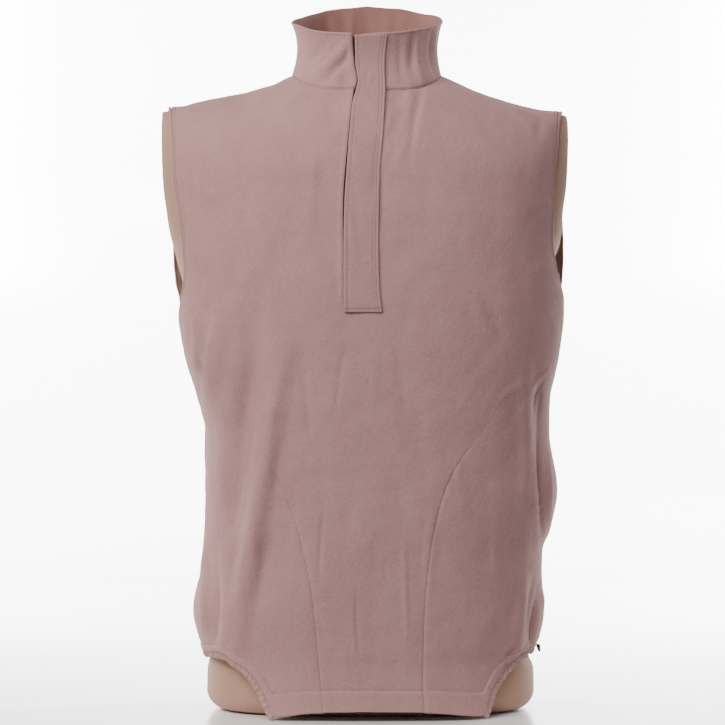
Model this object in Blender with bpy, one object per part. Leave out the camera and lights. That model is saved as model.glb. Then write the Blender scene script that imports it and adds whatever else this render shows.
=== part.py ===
"""A sleeveless half-zip wind vest worn by a limbless torso dress form.

Metres, +Z up. The form's flat base is at z = 0, the front faces -Y and the wearer's left is +X.
Every piece of cloth is a closed wall between two copies of one drape surface, which is worked
out from horizontal sections below the shoulders and from arches that roll over to the shoulder
line above them. Pieces meet at seams with a small gap, and what lies on a panel is made from
that panel's own points, moved out.
"""

import math
from bisect import bisect_right
from collections import namedtuple

import bmesh
import bpy
from mathutils import Vector

# Cloth thickness and the gaps that keep the solids apart
CLOTH = 0.0014
TURNED_HEM = 0.0024
COLLAR_CLOTH = 0.0021
FLAP_CLOTH = 0.0017
TRIM_CLOTH = 0.0012
SEAM_GAP = 0.0003
COLLAR_GAP = 0.0007
LAID_ON = 0.0007

# Where the vertical sections end and the roll over the shoulder begins
ROLL = 0.585
ROLL_SPAN = 0.100
RIDGE = ROLL + ROLL_SPAN

# The stand collar: plan of its seam and of its rim
NECK_HALF_WIDTH = 0.0825
NECK_FRONT = 0.085
NECK_BACK = 0.078
NECK_SQUARE_FRONT = 3.0
NECK_SQUARE_BACK = 2.3
NECK_SEAM_HEIGHT = 0.687
RIM_HALF_WIDTH = 0.0835
RIM_FRONT = 0.080
RIM_BACK = 0.082
RIM_SQUARE = 2.3
COLLAR_PINCH = 0.0065

# The half zip, its opening in the front, and the storm flap over it
ZIP_END = 0.450
ZIP_SLOT = 0.008
SLOT_PAST_FLAP = 0.0006
ZIP_HALF_WIDTH = 0.012
ZIP_BEHIND = 0.0009
ZIP_BEND = 0.020
FLAP_FOOT = 0.4425
FLAP_LIFT = 0.0022
FLAP_RAMP = 0.050
THICK_UNDER_FLAP = 0.655

# Narrow trims
BINDING_WIDTH = 0.0038
BINDING_RISE = 0.0008
CASING_WIDTH = 0.0072
CASING_RISE = 0.0012
HEM_TURN_UP = 0.0255

# The curved front seams reach the side seams here, and how steeply they set out towards them
SEAM_APEX = 0.408
SEAM_LEAN = 0.35

# The height at which the hem's columns are set out
HEM_BASE = 0.030

# A direction that no edge of the cloth is square to
SLANT = Vector((0.37, 0.11, 1.0))

FRONT = -1
BACK = 1
FACE_NAMES = {FRONT: "front", BACK: "back"}

# Sections of the worn vest: half widths to the viewer's left and right of the front and of the
# back panel, depths to the front and back, and how square the section is
Section = namedtuple(
    "Section", "height left_front right_front left_back right_back front back square"
)
SECTIONS = (
    Section(0.000, 0.1800, 0.1820, 0.1800, 0.1820, 0.1150, 0.1150, 2.55),
    Section(0.060, 0.1815, 0.1840, 0.1815, 0.1840, 0.1175, 0.1180, 2.55),
    Section(0.070, 0.1838, 0.1868, 0.1838, 0.1868, 0.1185, 0.1190, 2.55),
    Section(0.080, 0.1882, 0.1930, 0.1882, 0.1930, 0.1190, 0.1200, 2.55),
    Section(0.110, 0.1940, 0.1985, 0.1940, 0.1985, 0.1205, 0.1225, 2.50),
    Section(0.152, 0.1870, 0.1960, 0.1870, 0.1960, 0.1215, 0.1240, 2.45),
    Section(0.178, 0.1840, 0.1970, 0.1840, 0.1970, 0.1220, 0.1245, 2.40),
    Section(0.200, 0.1822, 0.2045, 0.1822, 0.2045, 0.1225, 0.1250, 2.40),
    Section(0.245, 0.1805, 0.2130, 0.1805, 0.2130, 0.1235, 0.1255, 2.40),
    Section(0.310, 0.1810, 0.2040, 0.1810, 0.2040, 0.1255, 0.1265, 2.45),
    Section(0.345, 0.1890, 0.2050, 0.1890, 0.2050, 0.1270, 0.1280, 2.50),
    Section(0.400, 0.2050, 0.2153, 0.2050, 0.2153, 0.1290, 0.1305, 2.50),
    Section(0.440, 0.2110, 0.2200, 0.2110, 0.2200, 0.1300, 0.1320, 2.50),
    Section(0.460, 0.2115, 0.2205, 0.2190, 0.2205, 0.1305, 0.1325, 2.50),
    Section(0.480, 0.2125, 0.2195, 0.2280, 0.2280, 0.1305, 0.1345, 2.50),
    Section(0.512, 0.2180, 0.2185, 0.2340, 0.2355, 0.1300, 0.1353, 2.50),
    Section(0.545, 0.2230, 0.2205, 0.2375, 0.2385, 0.1285, 0.1348, 2.50),
    Section(0.585, 0.2310, 0.2235, 0.2390, 0.2380, 0.1250, 0.1310, 2.50),
    Section(0.635, 0.2355, 0.2295, 0.2400, 0.2365, 0.1230, 0.1290, 2.50),
    Section(0.685, 0.2405, 0.2360, 0.2405, 0.2360, 0.1210, 0.1270, 2.50),
)

# Height of the shoulder line by distance from the middle. Inside the neck it is the height that
# the front and back arches aim for, and the collar seam cuts them off before they get there
Shoulder = namedtuple("Shoulder", "offset left_front right_front left_back right_back")
SHOULDERS = (
    Shoulder(0.000, 0.7270, 0.7270, 0.7660, 0.7660),
    Shoulder(0.040, 0.7220, 0.7215, 0.7540, 0.7540),
    Shoulder(0.0825, 0.7100, 0.7095, 0.7100, 0.7095),
    Shoulder(0.112, 0.6965, 0.6965, 0.6965, 0.6965),
    Shoulder(0.140, 0.6865, 0.6860, 0.6865, 0.6860),
    Shoulder(0.166, 0.6825, 0.6778, 0.6825, 0.6778),
    Shoulder(0.193, 0.6785, 0.6722, 0.6785, 0.6722),
    Shoulder(0.207, 0.6760, 0.6710, 0.6760, 0.6710),
    Shoulder(0.225, 0.6750, 0.6705, 0.6750, 0.6705),
)

# Height of the collar's rim, by turn from straight ahead to straight back
Rim = namedtuple("Rim", "turn left right")
RIM = (
    Rim(0.0, 0.7480, 0.7480),
    Rim(20.0, 0.7497, 0.7505),
    Rim(37.0, 0.7527, 0.7545),
    Rim(50.0, 0.7582, 0.7590),
    Rim(62.0, 0.7640, 0.7640),
    Rim(90.0, 0.7725, 0.7740),
    Rim(116.0, 0.7820, 0.7850),
    Rim(140.0, 0.7922, 0.7930),
    Rim(155.0, 0.7985, 0.7992),
    Rim(180.0, 0.8025, 0.8025),
)

# Lower edge of the cloth by angle round the body, 0 at the middle and 90 at the side seam
Hem = namedtuple("Hem", "angle left_front right_front back")
HEM = (
    Hem(0.0, 0.0105, 0.0105, 0.0100),
    Hem(20.0, 0.0090, 0.0095, 0.0085),
    Hem(32.0, 0.0042, 0.0058, 0.0060),
    Hem(34.5, 0.0200, 0.0050, 0.0060),
    Hem(36.5, 0.0350, 0.0044, 0.0110),
    Hem(39.5, 0.0470, 0.0040, 0.0230),
    Hem(41.5, 0.0530, 0.0160, 0.0330),
    Hem(43.5, 0.0570, 0.0330, 0.0410),
    Hem(46.5, 0.0620, 0.0440, 0.0500),
    Hem(50.0, 0.0670, 0.0540, 0.0580),
    Hem(54.0, 0.0700, 0.0620, 0.0640),
    Hem(60.0, 0.0695, 0.0680, 0.0680),
    Hem(68.0, 0.0680, 0.0705, 0.0690),
    Hem(90.0, 0.0685, 0.0685, 0.0685),
)
HEM_CORNER = {-1: 32.0, 1: 39.5}
BACK_CORNER = 38.0

# The curved front seams: distance from the middle at each height
SeamRow = namedtuple("SeamRow", "height left right")
FRONT_SEAMS = (
    SeamRow(0.000, 0.0462, 0.0625),
    SeamRow(0.040, 0.0503, 0.0606),
    SeamRow(0.088, 0.0548, 0.0613),
    SeamRow(0.131, 0.0591, 0.0633),
    SeamRow(0.187, 0.0700, 0.0690),
    SeamRow(0.236, 0.0846, 0.0800),
    SeamRow(0.275, 0.1023, 0.0965),
    SeamRow(0.308, 0.1190, 0.1215),
    SeamRow(0.342, 0.1400, 0.1450),
)

# The panels' armhole edges: angle of the edge by height above the top of the side seam
ArmRow = namedtuple("ArmRow", "rise left_front right_front left_back right_back")
SIDE_SEAM_TOP = {-1: 0.440, 1: 0.460}
ARMHOLES = (
    ArmRow(0.000, 90.0, 90.0, 90.0, 90.0),
    ArmRow(0.006, 78.0, 78.0, 78.5, 78.5),
    ArmRow(0.012, 74.0, 74.0, 75.0, 75.0),
    ArmRow(0.032, 67.0, 66.5, 69.0, 69.0),
    ArmRow(0.060, 63.0, 62.5, 65.5, 65.5),
    ArmRow(0.100, 61.0, 61.0, 63.0, 63.0),
    ArmRow(0.141, 60.5, 60.5, 61.5, 61.5),
    ArmRow(0.241, 60.5, 60.5, 60.5, 60.5),
)

# Edges of the storm flap by height
FlapRow = namedtuple("FlapRow", "height left right")
FLAP = (
    FlapRow(FLAP_FOOT, -0.0244, 0.0157),
    FlapRow(0.463, -0.0247, 0.0131),
    FlapRow(0.515, -0.0247, 0.0117),
    FlapRow(0.557, -0.0239, 0.0123),
    FlapRow(0.600, -0.0212, 0.0135),
    FlapRow(0.635, -0.0185, 0.0166),
    FlapRow(0.670, -0.0149, 0.0185),
    FlapRow(0.6835, -0.0111, 0.0193),
    FlapRow(0.693, -0.0094, 0.0196),
    FlapRow(0.704, -0.0111, 0.0198),
    FlapRow(0.714, -0.0131, 0.0200),
    FlapRow(0.750, -0.0124, 0.0216),
)

# The largest folds: where each starts and ends, its half width, and how far it stands out or in
Fold = namedtuple("Fold", "face x_top top x_bottom bottom half_width height")
FOLDS = (
    Fold(FRONT, -0.0850, 0.440, -0.1520, 0.060, 0.022, 0.0060),
    Fold(FRONT, -0.1150, 0.490, -0.1480, 0.190, 0.020, -0.0055),
    Fold(FRONT, -0.0990, 0.215, -0.1150, 0.120, 0.014, -0.0030),
    Fold(FRONT, -0.1500, 0.465, -0.1780, 0.340, 0.018, 0.0045),
    Fold(FRONT, -0.1700, 0.190, -0.1690, 0.070, 0.013, -0.0045),
    Fold(FRONT, 0.1860, 0.405, 0.1930, 0.170, 0.014, -0.0040),
    Fold(FRONT, 0.1720, 0.400, 0.1780, 0.190, 0.013, 0.0030),
    Fold(FRONT, 0.1850, 0.160, 0.1770, 0.066, 0.011, -0.0045),
    Fold(FRONT, 0.1700, 0.160, 0.1640, 0.070, 0.012, 0.0035),
    Fold(FRONT, 0.0560, 0.690, 0.0400, 0.620, 0.011, -0.0025),
    Fold(BACK, -0.1250, 0.420, -0.1480, 0.080, 0.024, 0.0060),
    Fold(BACK, -0.0850, 0.330, -0.1000, 0.090, 0.022, -0.0045),
    Fold(BACK, 0.1300, 0.400, 0.1500, 0.080, 0.024, 0.0060),
    Fold(BACK, 0.0900, 0.340, 0.1080, 0.090, 0.022, -0.0045),
    Fold(BACK, 0.0000, 0.640, 0.0050, 0.440, 0.030, -0.0035),
    Fold(BACK, -0.1600, 0.500, -0.1750, 0.330, 0.020, -0.0040),
    Fold(BACK, 0.1650, 0.500, 0.1780, 0.340, 0.020, -0.0040),
)

# The dress form: half widths to the left and right of its middle, where the flat ends of the
# shoulder stumps cut them off, and its depths
FormRow = namedtuple("FormRow", "height centre left right left_end right_end front back square")
FORM_FILLET = 0.022
STUMP_EDGE = 0.005
FORM = (
    FormRow(0.000, 0.0044, 0.1850, 0.1840, 0.30, 0.30, 0.0930, 0.0960, 2.6),
    FormRow(0.045, 0.0044, 0.1840, 0.1830, 0.30, 0.30, 0.0970, 0.0990, 2.6),
    FormRow(0.065, 0.0035, 0.1785, 0.1760, 0.30, 0.30, 0.0990, 0.1010, 2.6),
    FormRow(0.140, 0.0020, 0.1720, 0.1740, 0.30, 0.30, 0.1030, 0.1050, 2.5),
    FormRow(0.250, 0.0000, 0.1640, 0.1680, 0.30, 0.30, 0.0980, 0.1000, 2.4),
    FormRow(0.360, 0.0000, 0.1720, 0.1760, 0.30, 0.30, 0.1060, 0.1070, 2.4),
    FormRow(0.440, 0.0000, 0.1850, 0.1870, 0.30, 0.30, 0.1150, 0.1140, 2.4),
    FormRow(0.492, 0.0000, 0.1960, 0.1960, 0.30, 0.30, 0.1170, 0.1160, 2.35),
    FormRow(0.520, 0.0000, 0.2140, 0.2120, 0.2180, 0.2150, 0.1160, 0.1150, 2.3),
    FormRow(0.550, 0.0000, 0.2330, 0.2290, 0.2240, 0.2190, 0.1140, 0.1130, 2.25),
    FormRow(0.585, 0.0000, 0.2400, 0.2360, 0.2283, 0.2230, 0.1100, 0.1100, 2.2),
    FormRow(0.620, 0.0000, 0.2430, 0.2380, 0.2293, 0.2252, 0.1040, 0.1050, 2.05),
    FormRow(0.645, 0.0000, 0.2440, 0.2380, 0.2293, 0.2262, 0.0940, 0.0980, 1.85),
    FormRow(0.660, 0.0000, 0.2430, 0.2360, 0.2293, 0.2262, 0.0820, 0.0855, 1.60),
    FormRow(0.6660, 0.0000, 0.2400, 0.2300, 0.2293, 0.2257, 0.0760, 0.0800, 1.42),
    FormRow(0.6705, 0.0000, 0.2360, 0.1850, 0.2293, 0.30, 0.0720, 0.0760, 1.36),
    FormRow(0.6730, 0.0000, 0.2100, 0.1700, 0.30, 0.30, 0.0725, 0.0765, 1.42),
    FormRow(0.678, 0.0000, 0.1660, 0.1480, 0.30, 0.30, 0.0760, 0.0780, 1.6),
    FormRow(0.684, 0.0000, 0.1340, 0.1310, 0.30, 0.30, 0.0720, 0.0750, 1.7),
    FormRow(0.692, 0.0000, 0.1100, 0.1100, 0.30, 0.30, 0.0680, 0.0700, 1.85),
    FormRow(0.702, 0.0000, 0.0900, 0.0900, 0.30, 0.30, 0.0640, 0.0650, 2.0),
    FormRow(0.712, 0.0000, 0.0730, 0.0730, 0.30, 0.30, 0.0610, 0.0610, 2.0),
    FormRow(0.722, 0.0000, 0.0650, 0.0650, 0.30, 0.30, 0.0600, 0.0600, 2.0),
    FormRow(0.730, 0.0000, 0.0620, 0.0620, 0.30, 0.30, 0.0590, 0.0590, 2.0),
)

CLOTH_COLOUR = (0.40, 0.28, 0.27, 1.0)
FORM_COLOUR = (0.45, 0.32, 0.27, 1.0)
BLACK = (0.01, 0.01, 0.01, 1.0)


def between(table, key, field, at):
    """Reads a table's column at a place between its rows, along a smooth curve."""
    keys = [getattr(row, key) for row in table]
    values = [getattr(row, field) for row in table]
    if at <= keys[0]:
        return values[0]
    if at >= keys[-1]:
        return values[-1]
    i = bisect_right(keys, at) - 1
    span = keys[i + 1] - keys[i]
    step = (values[i + 1] - values[i]) / span

    def slope(k):
        if k == 0 or k == len(keys) - 1:
            return step
        before = (values[k] - values[k - 1]) / (keys[k] - keys[k - 1])
        after = (values[k + 1] - values[k]) / (keys[k + 1] - keys[k])
        if before * after <= 0:
            return 0.0
        return 2 * before * after / (before + after)

    t = (at - keys[i]) / span
    rise = (2 * t**3 - 3 * t**2 + 1) * values[i] + (3 * t**2 - 2 * t**3) * values[i + 1]
    lean = (t**3 - 2 * t**2 + t) * slope(i) + (t**3 - t**2) * slope(i + 1)
    return rise + span * lean


def solve(function, low, high):
    """The place between low and high where a rising function reaches zero."""
    for _ in range(40):
        middle = (low + high) / 2
        if function(middle) < 0:
            low = middle
        else:
            high = middle
    return (low + high) / 2


def unit_section(angle, square):
    """A point of the unit section: across and deep, at an angle from straight ahead."""
    across = math.sin(math.radians(angle))
    deep = math.cos(math.radians(angle))
    size = (abs(across) ** square + abs(deep) ** square) ** (1 / square)
    return across / size, deep / size


def side_name(angle):
    return "left" if angle < 0 else "right"


def plain_drape(face, angle, level):
    """The drape surface without folds. The angle runs from -90 to 90 across a panel, and the
    level is the height up to the roll and then turns over to the shoulder line."""
    name = FACE_NAMES[face]
    side = side_name(angle)
    square = between(SECTIONS, "height", "square", level)
    across, deep = unit_section(angle, square)
    x = between(SECTIONS, "height", f"{side}_{name}", level) * across
    y = face * between(SECTIONS, "height", name, level) * deep
    if level <= ROLL:
        return Vector((x, y, level))
    turn = math.radians(90 * (level - ROLL) / ROLL_SPAN)
    top = between(SHOULDERS, "offset", f"{side}_{name}", abs(x))
    return Vector((x, y * math.cos(turn), ROLL + (top - ROLL) * math.sin(turn)))


def fold_height(face, x, z):
    """How far the large folds stand out at a place on a panel."""
    total = 0.0
    for fold in FOLDS:
        if fold.face != face or not fold.bottom < z < fold.top:
            continue
        along = (z - fold.bottom) / (fold.top - fold.bottom)
        middle = fold.x_bottom + (fold.x_top - fold.x_bottom) * along
        off = (x - middle) / fold.half_width
        if abs(off) < 1:
            total += fold.height * (1 - off * off) ** 2 * math.sin(math.pi * along) ** 0.8
    return total


def normal_of(function, angle, level):
    """The outward normal of a surface given by angle and level."""
    step_angle = 0.4
    step_level = 0.0006
    low = max(level - step_level, 0.0)
    high = min(level + step_level, RIDGE)
    across = function(angle + step_angle, level) - function(angle - step_angle, level)
    up = function(angle, high) - function(angle, low)
    return across.cross(up).normalized()


def drape(face, angle, level):
    """The vest's inner surface, folds included."""
    place = plain_drape(face, angle, level)
    rise = fold_height(face, place.x, place.z)
    if rise == 0.0:
        return place
    normal = normal_of(lambda a, v: plain_drape(face, a, v), angle, level)
    return place - face * rise * normal


def drape_normal(face, angle, level):
    return -face * normal_of(lambda a, v: drape(face, a, v), angle, level)


def angle_at(face, x, level):
    """The angle at which a panel's section passes a distance from the middle."""
    return solve(lambda a: plain_drape(face, a, level).x - x, -90.0, 90.0)


def hem_level(face, angle):
    """Height of the cloth's lower edge."""
    field = "back" if face == BACK else f"{side_name(angle)}_front"
    return between(HEM, "angle", field, abs(angle))


def arm_angle(face, side, level):
    """Angle of the armhole edge, or of the side seam below the armhole."""
    name = ("left" if side < 0 else "right") + "_" + FACE_NAMES[face]
    return between(ARMHOLES, "rise", name, level - SIDE_SEAM_TOP[side])


def front_seam_angle(side, level):
    """Angle of the curved front seam, from the middle."""
    last = FRONT_SEAMS[-1].height
    name = "left" if side < 0 else "right"

    def on_table(height):
        return abs(angle_at(FRONT, side * between(FRONT_SEAMS, "height", name, height), height))

    if level <= last:
        return on_table(level)
    if level >= SEAM_APEX:
        return 90.0
    along = (level - last) / (SEAM_APEX - last)
    start = on_table(last)
    return start + (90.0 - start) * (SEAM_LEAN * along + (1 - SEAM_LEAN) * along**2)


def neck_plan(turn):
    """The collar seam in plan, at a turn from straight ahead (0) to straight back (180)."""
    deep_side = math.cos(math.radians(turn)) >= 0
    square = NECK_SQUARE_FRONT if deep_side else NECK_SQUARE_BACK
    depth = NECK_FRONT if deep_side else NECK_BACK
    across, deep = unit_section(turn, square)
    return NECK_HALF_WIDTH * across, -depth * deep


def neck_place(turn):
    """Where the collar seam crosses the drape surface: face, angle and level."""
    x, y = neck_plan(turn)
    face = FRONT if y <= 0 else BACK
    level = RIDGE
    angle = 0.0
    for _ in range(12):
        angle = angle_at(face, x, level)
        square = between(SECTIONS, "height", "square", level)
        depth = between(SECTIONS, "height", FACE_NAMES[face], level) * unit_section(angle, square)[1]
        share = min(abs(y) / depth, 1.0)
        level = ROLL + ROLL_SPAN * math.degrees(math.acos(share)) / 90
    return face, angle, level


def moved_along(face, angle, level, by_angle, by_level, distance):
    """A place on the drape surface moved by a real distance along angle or level."""
    step = 0.01
    size = (
        drape(face, angle + by_angle * step, level + by_level * step * 0.01)
        - drape(face, angle, level)
    ).length
    share = distance / max(size, 1e-9)
    return angle + by_angle * step * share, level + by_level * step * 0.01 * share


def on_drape(face, angle, level, out=0.0):
    """A point of the drape surface and its outward normal."""
    normal = drape_normal(face, angle, level)
    return drape(face, angle, level) + normal * out, normal


def material(name, colour, roughness):
    finish = bpy.data.materials.new(name)
    finish.use_nodes = True
    shader = finish.node_tree.nodes["Principled BSDF"]
    shader.inputs["Base Color"].default_value = colour
    shader.inputs["Roughness"].default_value = roughness
    shader.inputs["Metallic"].default_value = 0.0
    return finish


def add_object(name, bm, colour, roughness=0.85):
    """Makes one named object with its own material from a bmesh."""
    mesh = bpy.data.meshes.new(name)
    bm.to_mesh(mesh)
    bm.free()
    mesh.shade_smooth()
    mesh.set_sharp_from_angle(angle=math.radians(40))
    mesh.materials.append(material(name, colour, roughness))
    item = bpy.data.objects.new(name, mesh)
    bpy.context.scene.collection.objects.link(item)
    return item


def halves(bm, corners):
    """Adds a four-cornered face as two triangles. The cut starts at the lowest corner, so the
    faces of two pieces that meet at a seam are cut the same way."""
    first = min(range(4), key=lambda k: SLANT.dot(corners[k].co))
    turned = corners[first:] + corners[:first]
    bm.faces.new(turned[:3])
    bm.faces.new([turned[0], turned[2], turned[3]])


def wall(name, grid, thickness, keep=None, ring=False, colour=CLOTH_COLOUR):
    """A closed wall of cloth. The grid holds rows of (point, outward normal), the thickness is a
    number or a function of row and column, and keep says which cells are cloth."""
    rows = len(grid)
    columns = len(grid[0])
    bm = bmesh.new()
    inner = {}
    outer = {}
    cells = []
    across = columns if ring else columns - 1
    for r in range(rows - 1):
        for c in range(across):
            if keep is None or keep(r, c):
                cells.append((r, c))

    def corner(r, c):
        c = c % columns
        if (r, c) not in inner:
            point, normal = grid[r][c]
            size = thickness(r, c) if callable(thickness) else thickness
            inner[r, c] = bm.verts.new(point)
            outer[r, c] = bm.verts.new(point + normal * size)
        return (r, c)

    r, c = cells[0]
    across_cell = grid[r][(c + 1) % columns][0] - grid[r][c][0]
    up_cell = grid[r + 1][c][0] - grid[r][c][0]
    turned = across_cell.cross(up_cell).dot(grid[r][c][1]) < 0
    edges = {}
    for r, c in cells:
        loop = [corner(r, c), corner(r, c + 1), corner(r + 1, c + 1), corner(r + 1, c)]
        if turned:
            loop.reverse()
        halves(bm, [outer[k] for k in loop])
        halves(bm, [inner[k] for k in reversed(loop)])
        for a, b in zip(loop, loop[1:] + loop[:1]):
            if (b, a) in edges:
                del edges[b, a]
            else:
                edges[a, b] = True
    for a, b in edges:
        halves(bm, [inner[a], inner[b], outer[b], outer[a]])
    return add_object(name, bm, colour)


def spread(low, high, count, power=1.0):
    """Evenly spaced values, the ends included."""
    return [low + (high - low) * (i / (count - 1)) ** power for i in range(count)]


# Levels of the rows below the roll, for the panels
LOWER_ROWS = (0.085, 0.110, 0.135, 0.165, 0.195, 0.225, 0.255, 0.285, 0.315, 0.342, 0.360, 0.376, 0.390, 0.400, 0.406)
MIDDLE_ROWS = (0.409, 0.424, 0.440, 0.446, 0.452, 0.460, 0.466, 0.472, 0.484, 0.504, 0.530, 0.558)
ROLL_ROWS = 7
HEM_ROWS = (0.0, HEM_TURN_UP, 0.048)
NECK_COLUMNS = 7
SHOULDER_COLUMNS = 9
NECK_SHARE = 0.34
COLUMN_SPACING = 0.015
EASING_ROUNDS = 120
LEAST_COLUMN = 0.8


def slot_left(height):
    """Distance of the opening's left edge from the middle, just past the flap's free edge."""
    return between(FLAP, "height", "left", height) - SLOT_PAST_FLAP


def slot_edges(level):
    """Angles of the two edges of the zip's opening in the front."""
    height = plain_drape(FRONT, 0.0, level).z
    left = slot_left(height)
    return angle_at(FRONT, left, level), angle_at(FRONT, left + ZIP_SLOT, level)


def neck_turns(face):
    """Turns round the neck at the top of each column, from the left neck point to the right."""
    if face == FRONT:
        left = slot_left(NECK_SEAM_HEIGHT)
        edges = [neck_turn_at(x) for x in (left, left + ZIP_SLOT)]
        before = spread(-90.0, edges[0], NECK_COLUMNS + 1)
        after = spread(edges[1], 90.0, NECK_COLUMNS + 1)
        return before + after
    return [180 - t for t in spread(-90.0, 90.0, 2 * NECK_COLUMNS + 1)]


def neck_turn_at(x):
    """The turn at which the front of the collar seam passes a distance from the middle."""
    return solve(lambda turn: neck_plan(turn)[0] - x, -60.0, 60.0)


def column_angles(face, low, high, level):
    """Angles of a panel's columns at a level, between its two edges."""
    if face == FRONT:
        left_slot, right_slot = slot_edges(level)
    else:
        left_slot = right_slot = 0.0
    left_neck = left_slot + NECK_SHARE * (low - left_slot)
    right_neck = right_slot + NECK_SHARE * (high - right_slot)
    angles = spread(low, left_neck, SHOULDER_COLUMNS + 1)
    angles += spread(left_neck, left_slot, NECK_COLUMNS + 1)[1:]
    after = spread(right_slot, right_neck, NECK_COLUMNS + 1)
    angles += after if face == FRONT else after[1:]
    angles += spread(right_neck, high, SHOULDER_COLUMNS + 1)[1:]
    return angles


def eased(places, first, last, fixed):
    """Lets the columns of some rows take up smoothly what the panel's edges do beside them."""
    for _ in range(EASING_ROUNDS):
        for r in range(first, last):
            row = places[r]
            down = row[0][1] - places[r - 1][0][1]
            up = places[r + 1][0][1] - row[0][1]
            for c in range(1, len(row) - 1):
                if c in fixed:
                    continue
                beside = (row[c - 1][0] + row[c + 1][0]) / COLUMN_SPACING**2
                above = 2 * places[r + 1][c][0] / (up * (up + down))
                below = 2 * places[r - 1][c][0] / (down * (up + down))
                weight = 2 / COLUMN_SPACING**2 + 2 / (up * down)
                low = row[0][0] + LEAST_COLUMN * c
                high = row[-1][0] - LEAST_COLUMN * (len(row) - 1 - c)
                angle = min(max((beside + above + below) / weight, low), high)
                row[c] = (angle, row[c][1])
    return places


def panel_places(face, left_edge, right_edge):
    """Rows of (angle, level) over a whole panel, from the hem to the shoulders and neck."""
    places = []
    base = column_angles(face, left_edge(HEM_BASE), right_edge(HEM_BASE), HEM_BASE)
    for lift in HEM_ROWS:
        row = []
        for c, angle in enumerate(base):
            start = hem_level(face, angle)
            level = start + lift * (LOWER_ROWS[0] - start) / LOWER_ROWS[0]
            angles = column_angles(face, left_edge(level), right_edge(level), level)
            row.append((angles[c], level))
        places.append(row)
    for level in LOWER_ROWS + MIDDLE_ROWS:
        angles = column_angles(face, left_edge(level), right_edge(level), level)
        places.append([(angle, level) for angle in angles])
    start = column_angles(face, left_edge(ROLL), right_edge(ROLL), ROLL)
    places.append([(angle, ROLL) for angle in start])
    slot = SHOULDER_COLUMNS + NECK_COLUMNS
    eased(places, len(HEM_ROWS), len(places) - 1, (slot, slot + 1) if face == FRONT else (slot,))
    places.pop()
    neck = [neck_place(turn)[1:] for turn in neck_turns(face)]
    tops = [(angle, RIDGE) for angle in spread(left_edge(RIDGE), neck[0][0], SHOULDER_COLUMNS + 1)]
    tops = tops[:-1] + neck
    tops += [(angle, RIDGE) for angle in spread(neck[-1][0], right_edge(RIDGE), SHOULDER_COLUMNS + 1)][1:]
    for r in range(ROLL_ROWS):
        share = r / (ROLL_ROWS - 1)
        row = []
        for (angle, level), begin in zip(tops, start):
            row.append((begin + (angle - begin) * share, ROLL + (level - ROLL) * share))
        places.append(row)
    return places


def inset(face, places):
    """Draws a panel's edges in by half a seam gap."""
    half = SEAM_GAP / 2
    result = [list(row) for row in places]
    for row in result:
        for c, way in ((0, 1), (-1, -1)):
            angle, level = row[c]
            row[c] = moved_along(face, angle, level, way, 0, half)
    result[-1] = [moved_along(face, angle, level, 0, -1, half) for angle, level in result[-1]]
    return result


def panel(name, face, left_edge, right_edge, keep=None):
    places = inset(face, panel_places(face, left_edge, right_edge))
    grid = [[on_drape(face, angle, level) for angle, level in row] for row in places]

    def thickness(r, c):
        return TURNED_HEM if r < 2 else CLOTH

    return wall(name, grid, thickness, keep)


def make_front():
    slot = SHOULDER_COLUMNS + NECK_COLUMNS

    def edge(side):
        def at(level):
            if level < SEAM_APEX:
                return side * front_seam_angle(side, level)
            return side * arm_angle(FRONT, side, level)
        return at

    closed = [level for level in LOWER_ROWS + MIDDLE_ROWS if level < ZIP_END]
    first_open = len(HEM_ROWS) + len(closed)

    def keep(r, c):
        return c != slot or r < first_open

    return panel("front", FRONT, edge(-1), edge(1), keep)


def back_edge(side):
    return lambda level: side * arm_angle(BACK, side, level)


def make_back():
    return panel("back", BACK, back_edge(-1), back_edge(1))


CORNER_STEPS = (-10, 0, 2.5, 4.5, 7.5, 11.5, 16, 22, 28, 35, 42)


def side_shares(side):
    """Where a side panel's columns stand between its curved seam and the side seam."""
    seam = front_seam_angle(side, HEM_BASE)
    angles = [seam] + [HEM_CORNER[side] + step for step in CORNER_STEPS] + [90.0]
    return [(angle - seam) / (90.0 - seam) for angle in angles]


def side_places(side):
    """Rows of (angle, level) over a side panel, from its hem to just below its apex."""
    shares = side_shares(side)
    seam = front_seam_angle(side, HEM_BASE)
    places = []
    for lift in HEM_ROWS:
        row = []
        for share in shares:
            start = hem_level(FRONT, side * (seam + (90.0 - seam) * share))
            level = start + lift * (LOWER_ROWS[0] - start) / LOWER_ROWS[0]
            low = front_seam_angle(side, level)
            row.append((side * (low + (90.0 - low) * share), level))
        places.append(row)
    for level in LOWER_ROWS:
        low = front_seam_angle(side, level)
        places.append([(side * (low + (90.0 - low) * share), level) for share in shares])
    return places


def make_side_front(name, side):
    """A lower side panel, between the curved seam and the side seam."""
    half = SEAM_GAP / 2
    grid = []
    for row in side_places(side):
        row[0] = moved_along(FRONT, *row[0], side, 0, half)
        row[-1] = moved_along(FRONT, *row[-1], -side, 0, half)
        grid.append([on_drape(FRONT, angle, level) for angle, level in row])

    def thickness(r, c):
        return TURNED_HEM if r < 2 else CLOTH

    return wall(name, grid, thickness)


def rim_point(turn):
    """The collar's rim: its plan and its height, lower at the front than at the back."""
    depth = RIM_FRONT if math.cos(math.radians(turn)) >= 0 else RIM_BACK
    across, deep = unit_section(turn, RIM_SQUARE)
    ahead = 180 - abs(abs(turn) % 360 - 180)
    height = between(RIM, "turn", side_name(across), ahead)
    return Vector((RIM_HALF_WIDTH * across, -depth * deep, height))


def collar_point(turn, share):
    """The collar's inner surface, from its seam (0) to its rim (1)."""
    face, angle, level = neck_place(turn)
    foot = drape(face, angle, level)
    top = rim_point(turn)
    point = foot.lerp(top, share)
    inward = Vector((point.x, point.y, 0.0)).normalized()
    return point - inward * COLLAR_PINCH * math.sin(math.pi * share)


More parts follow.
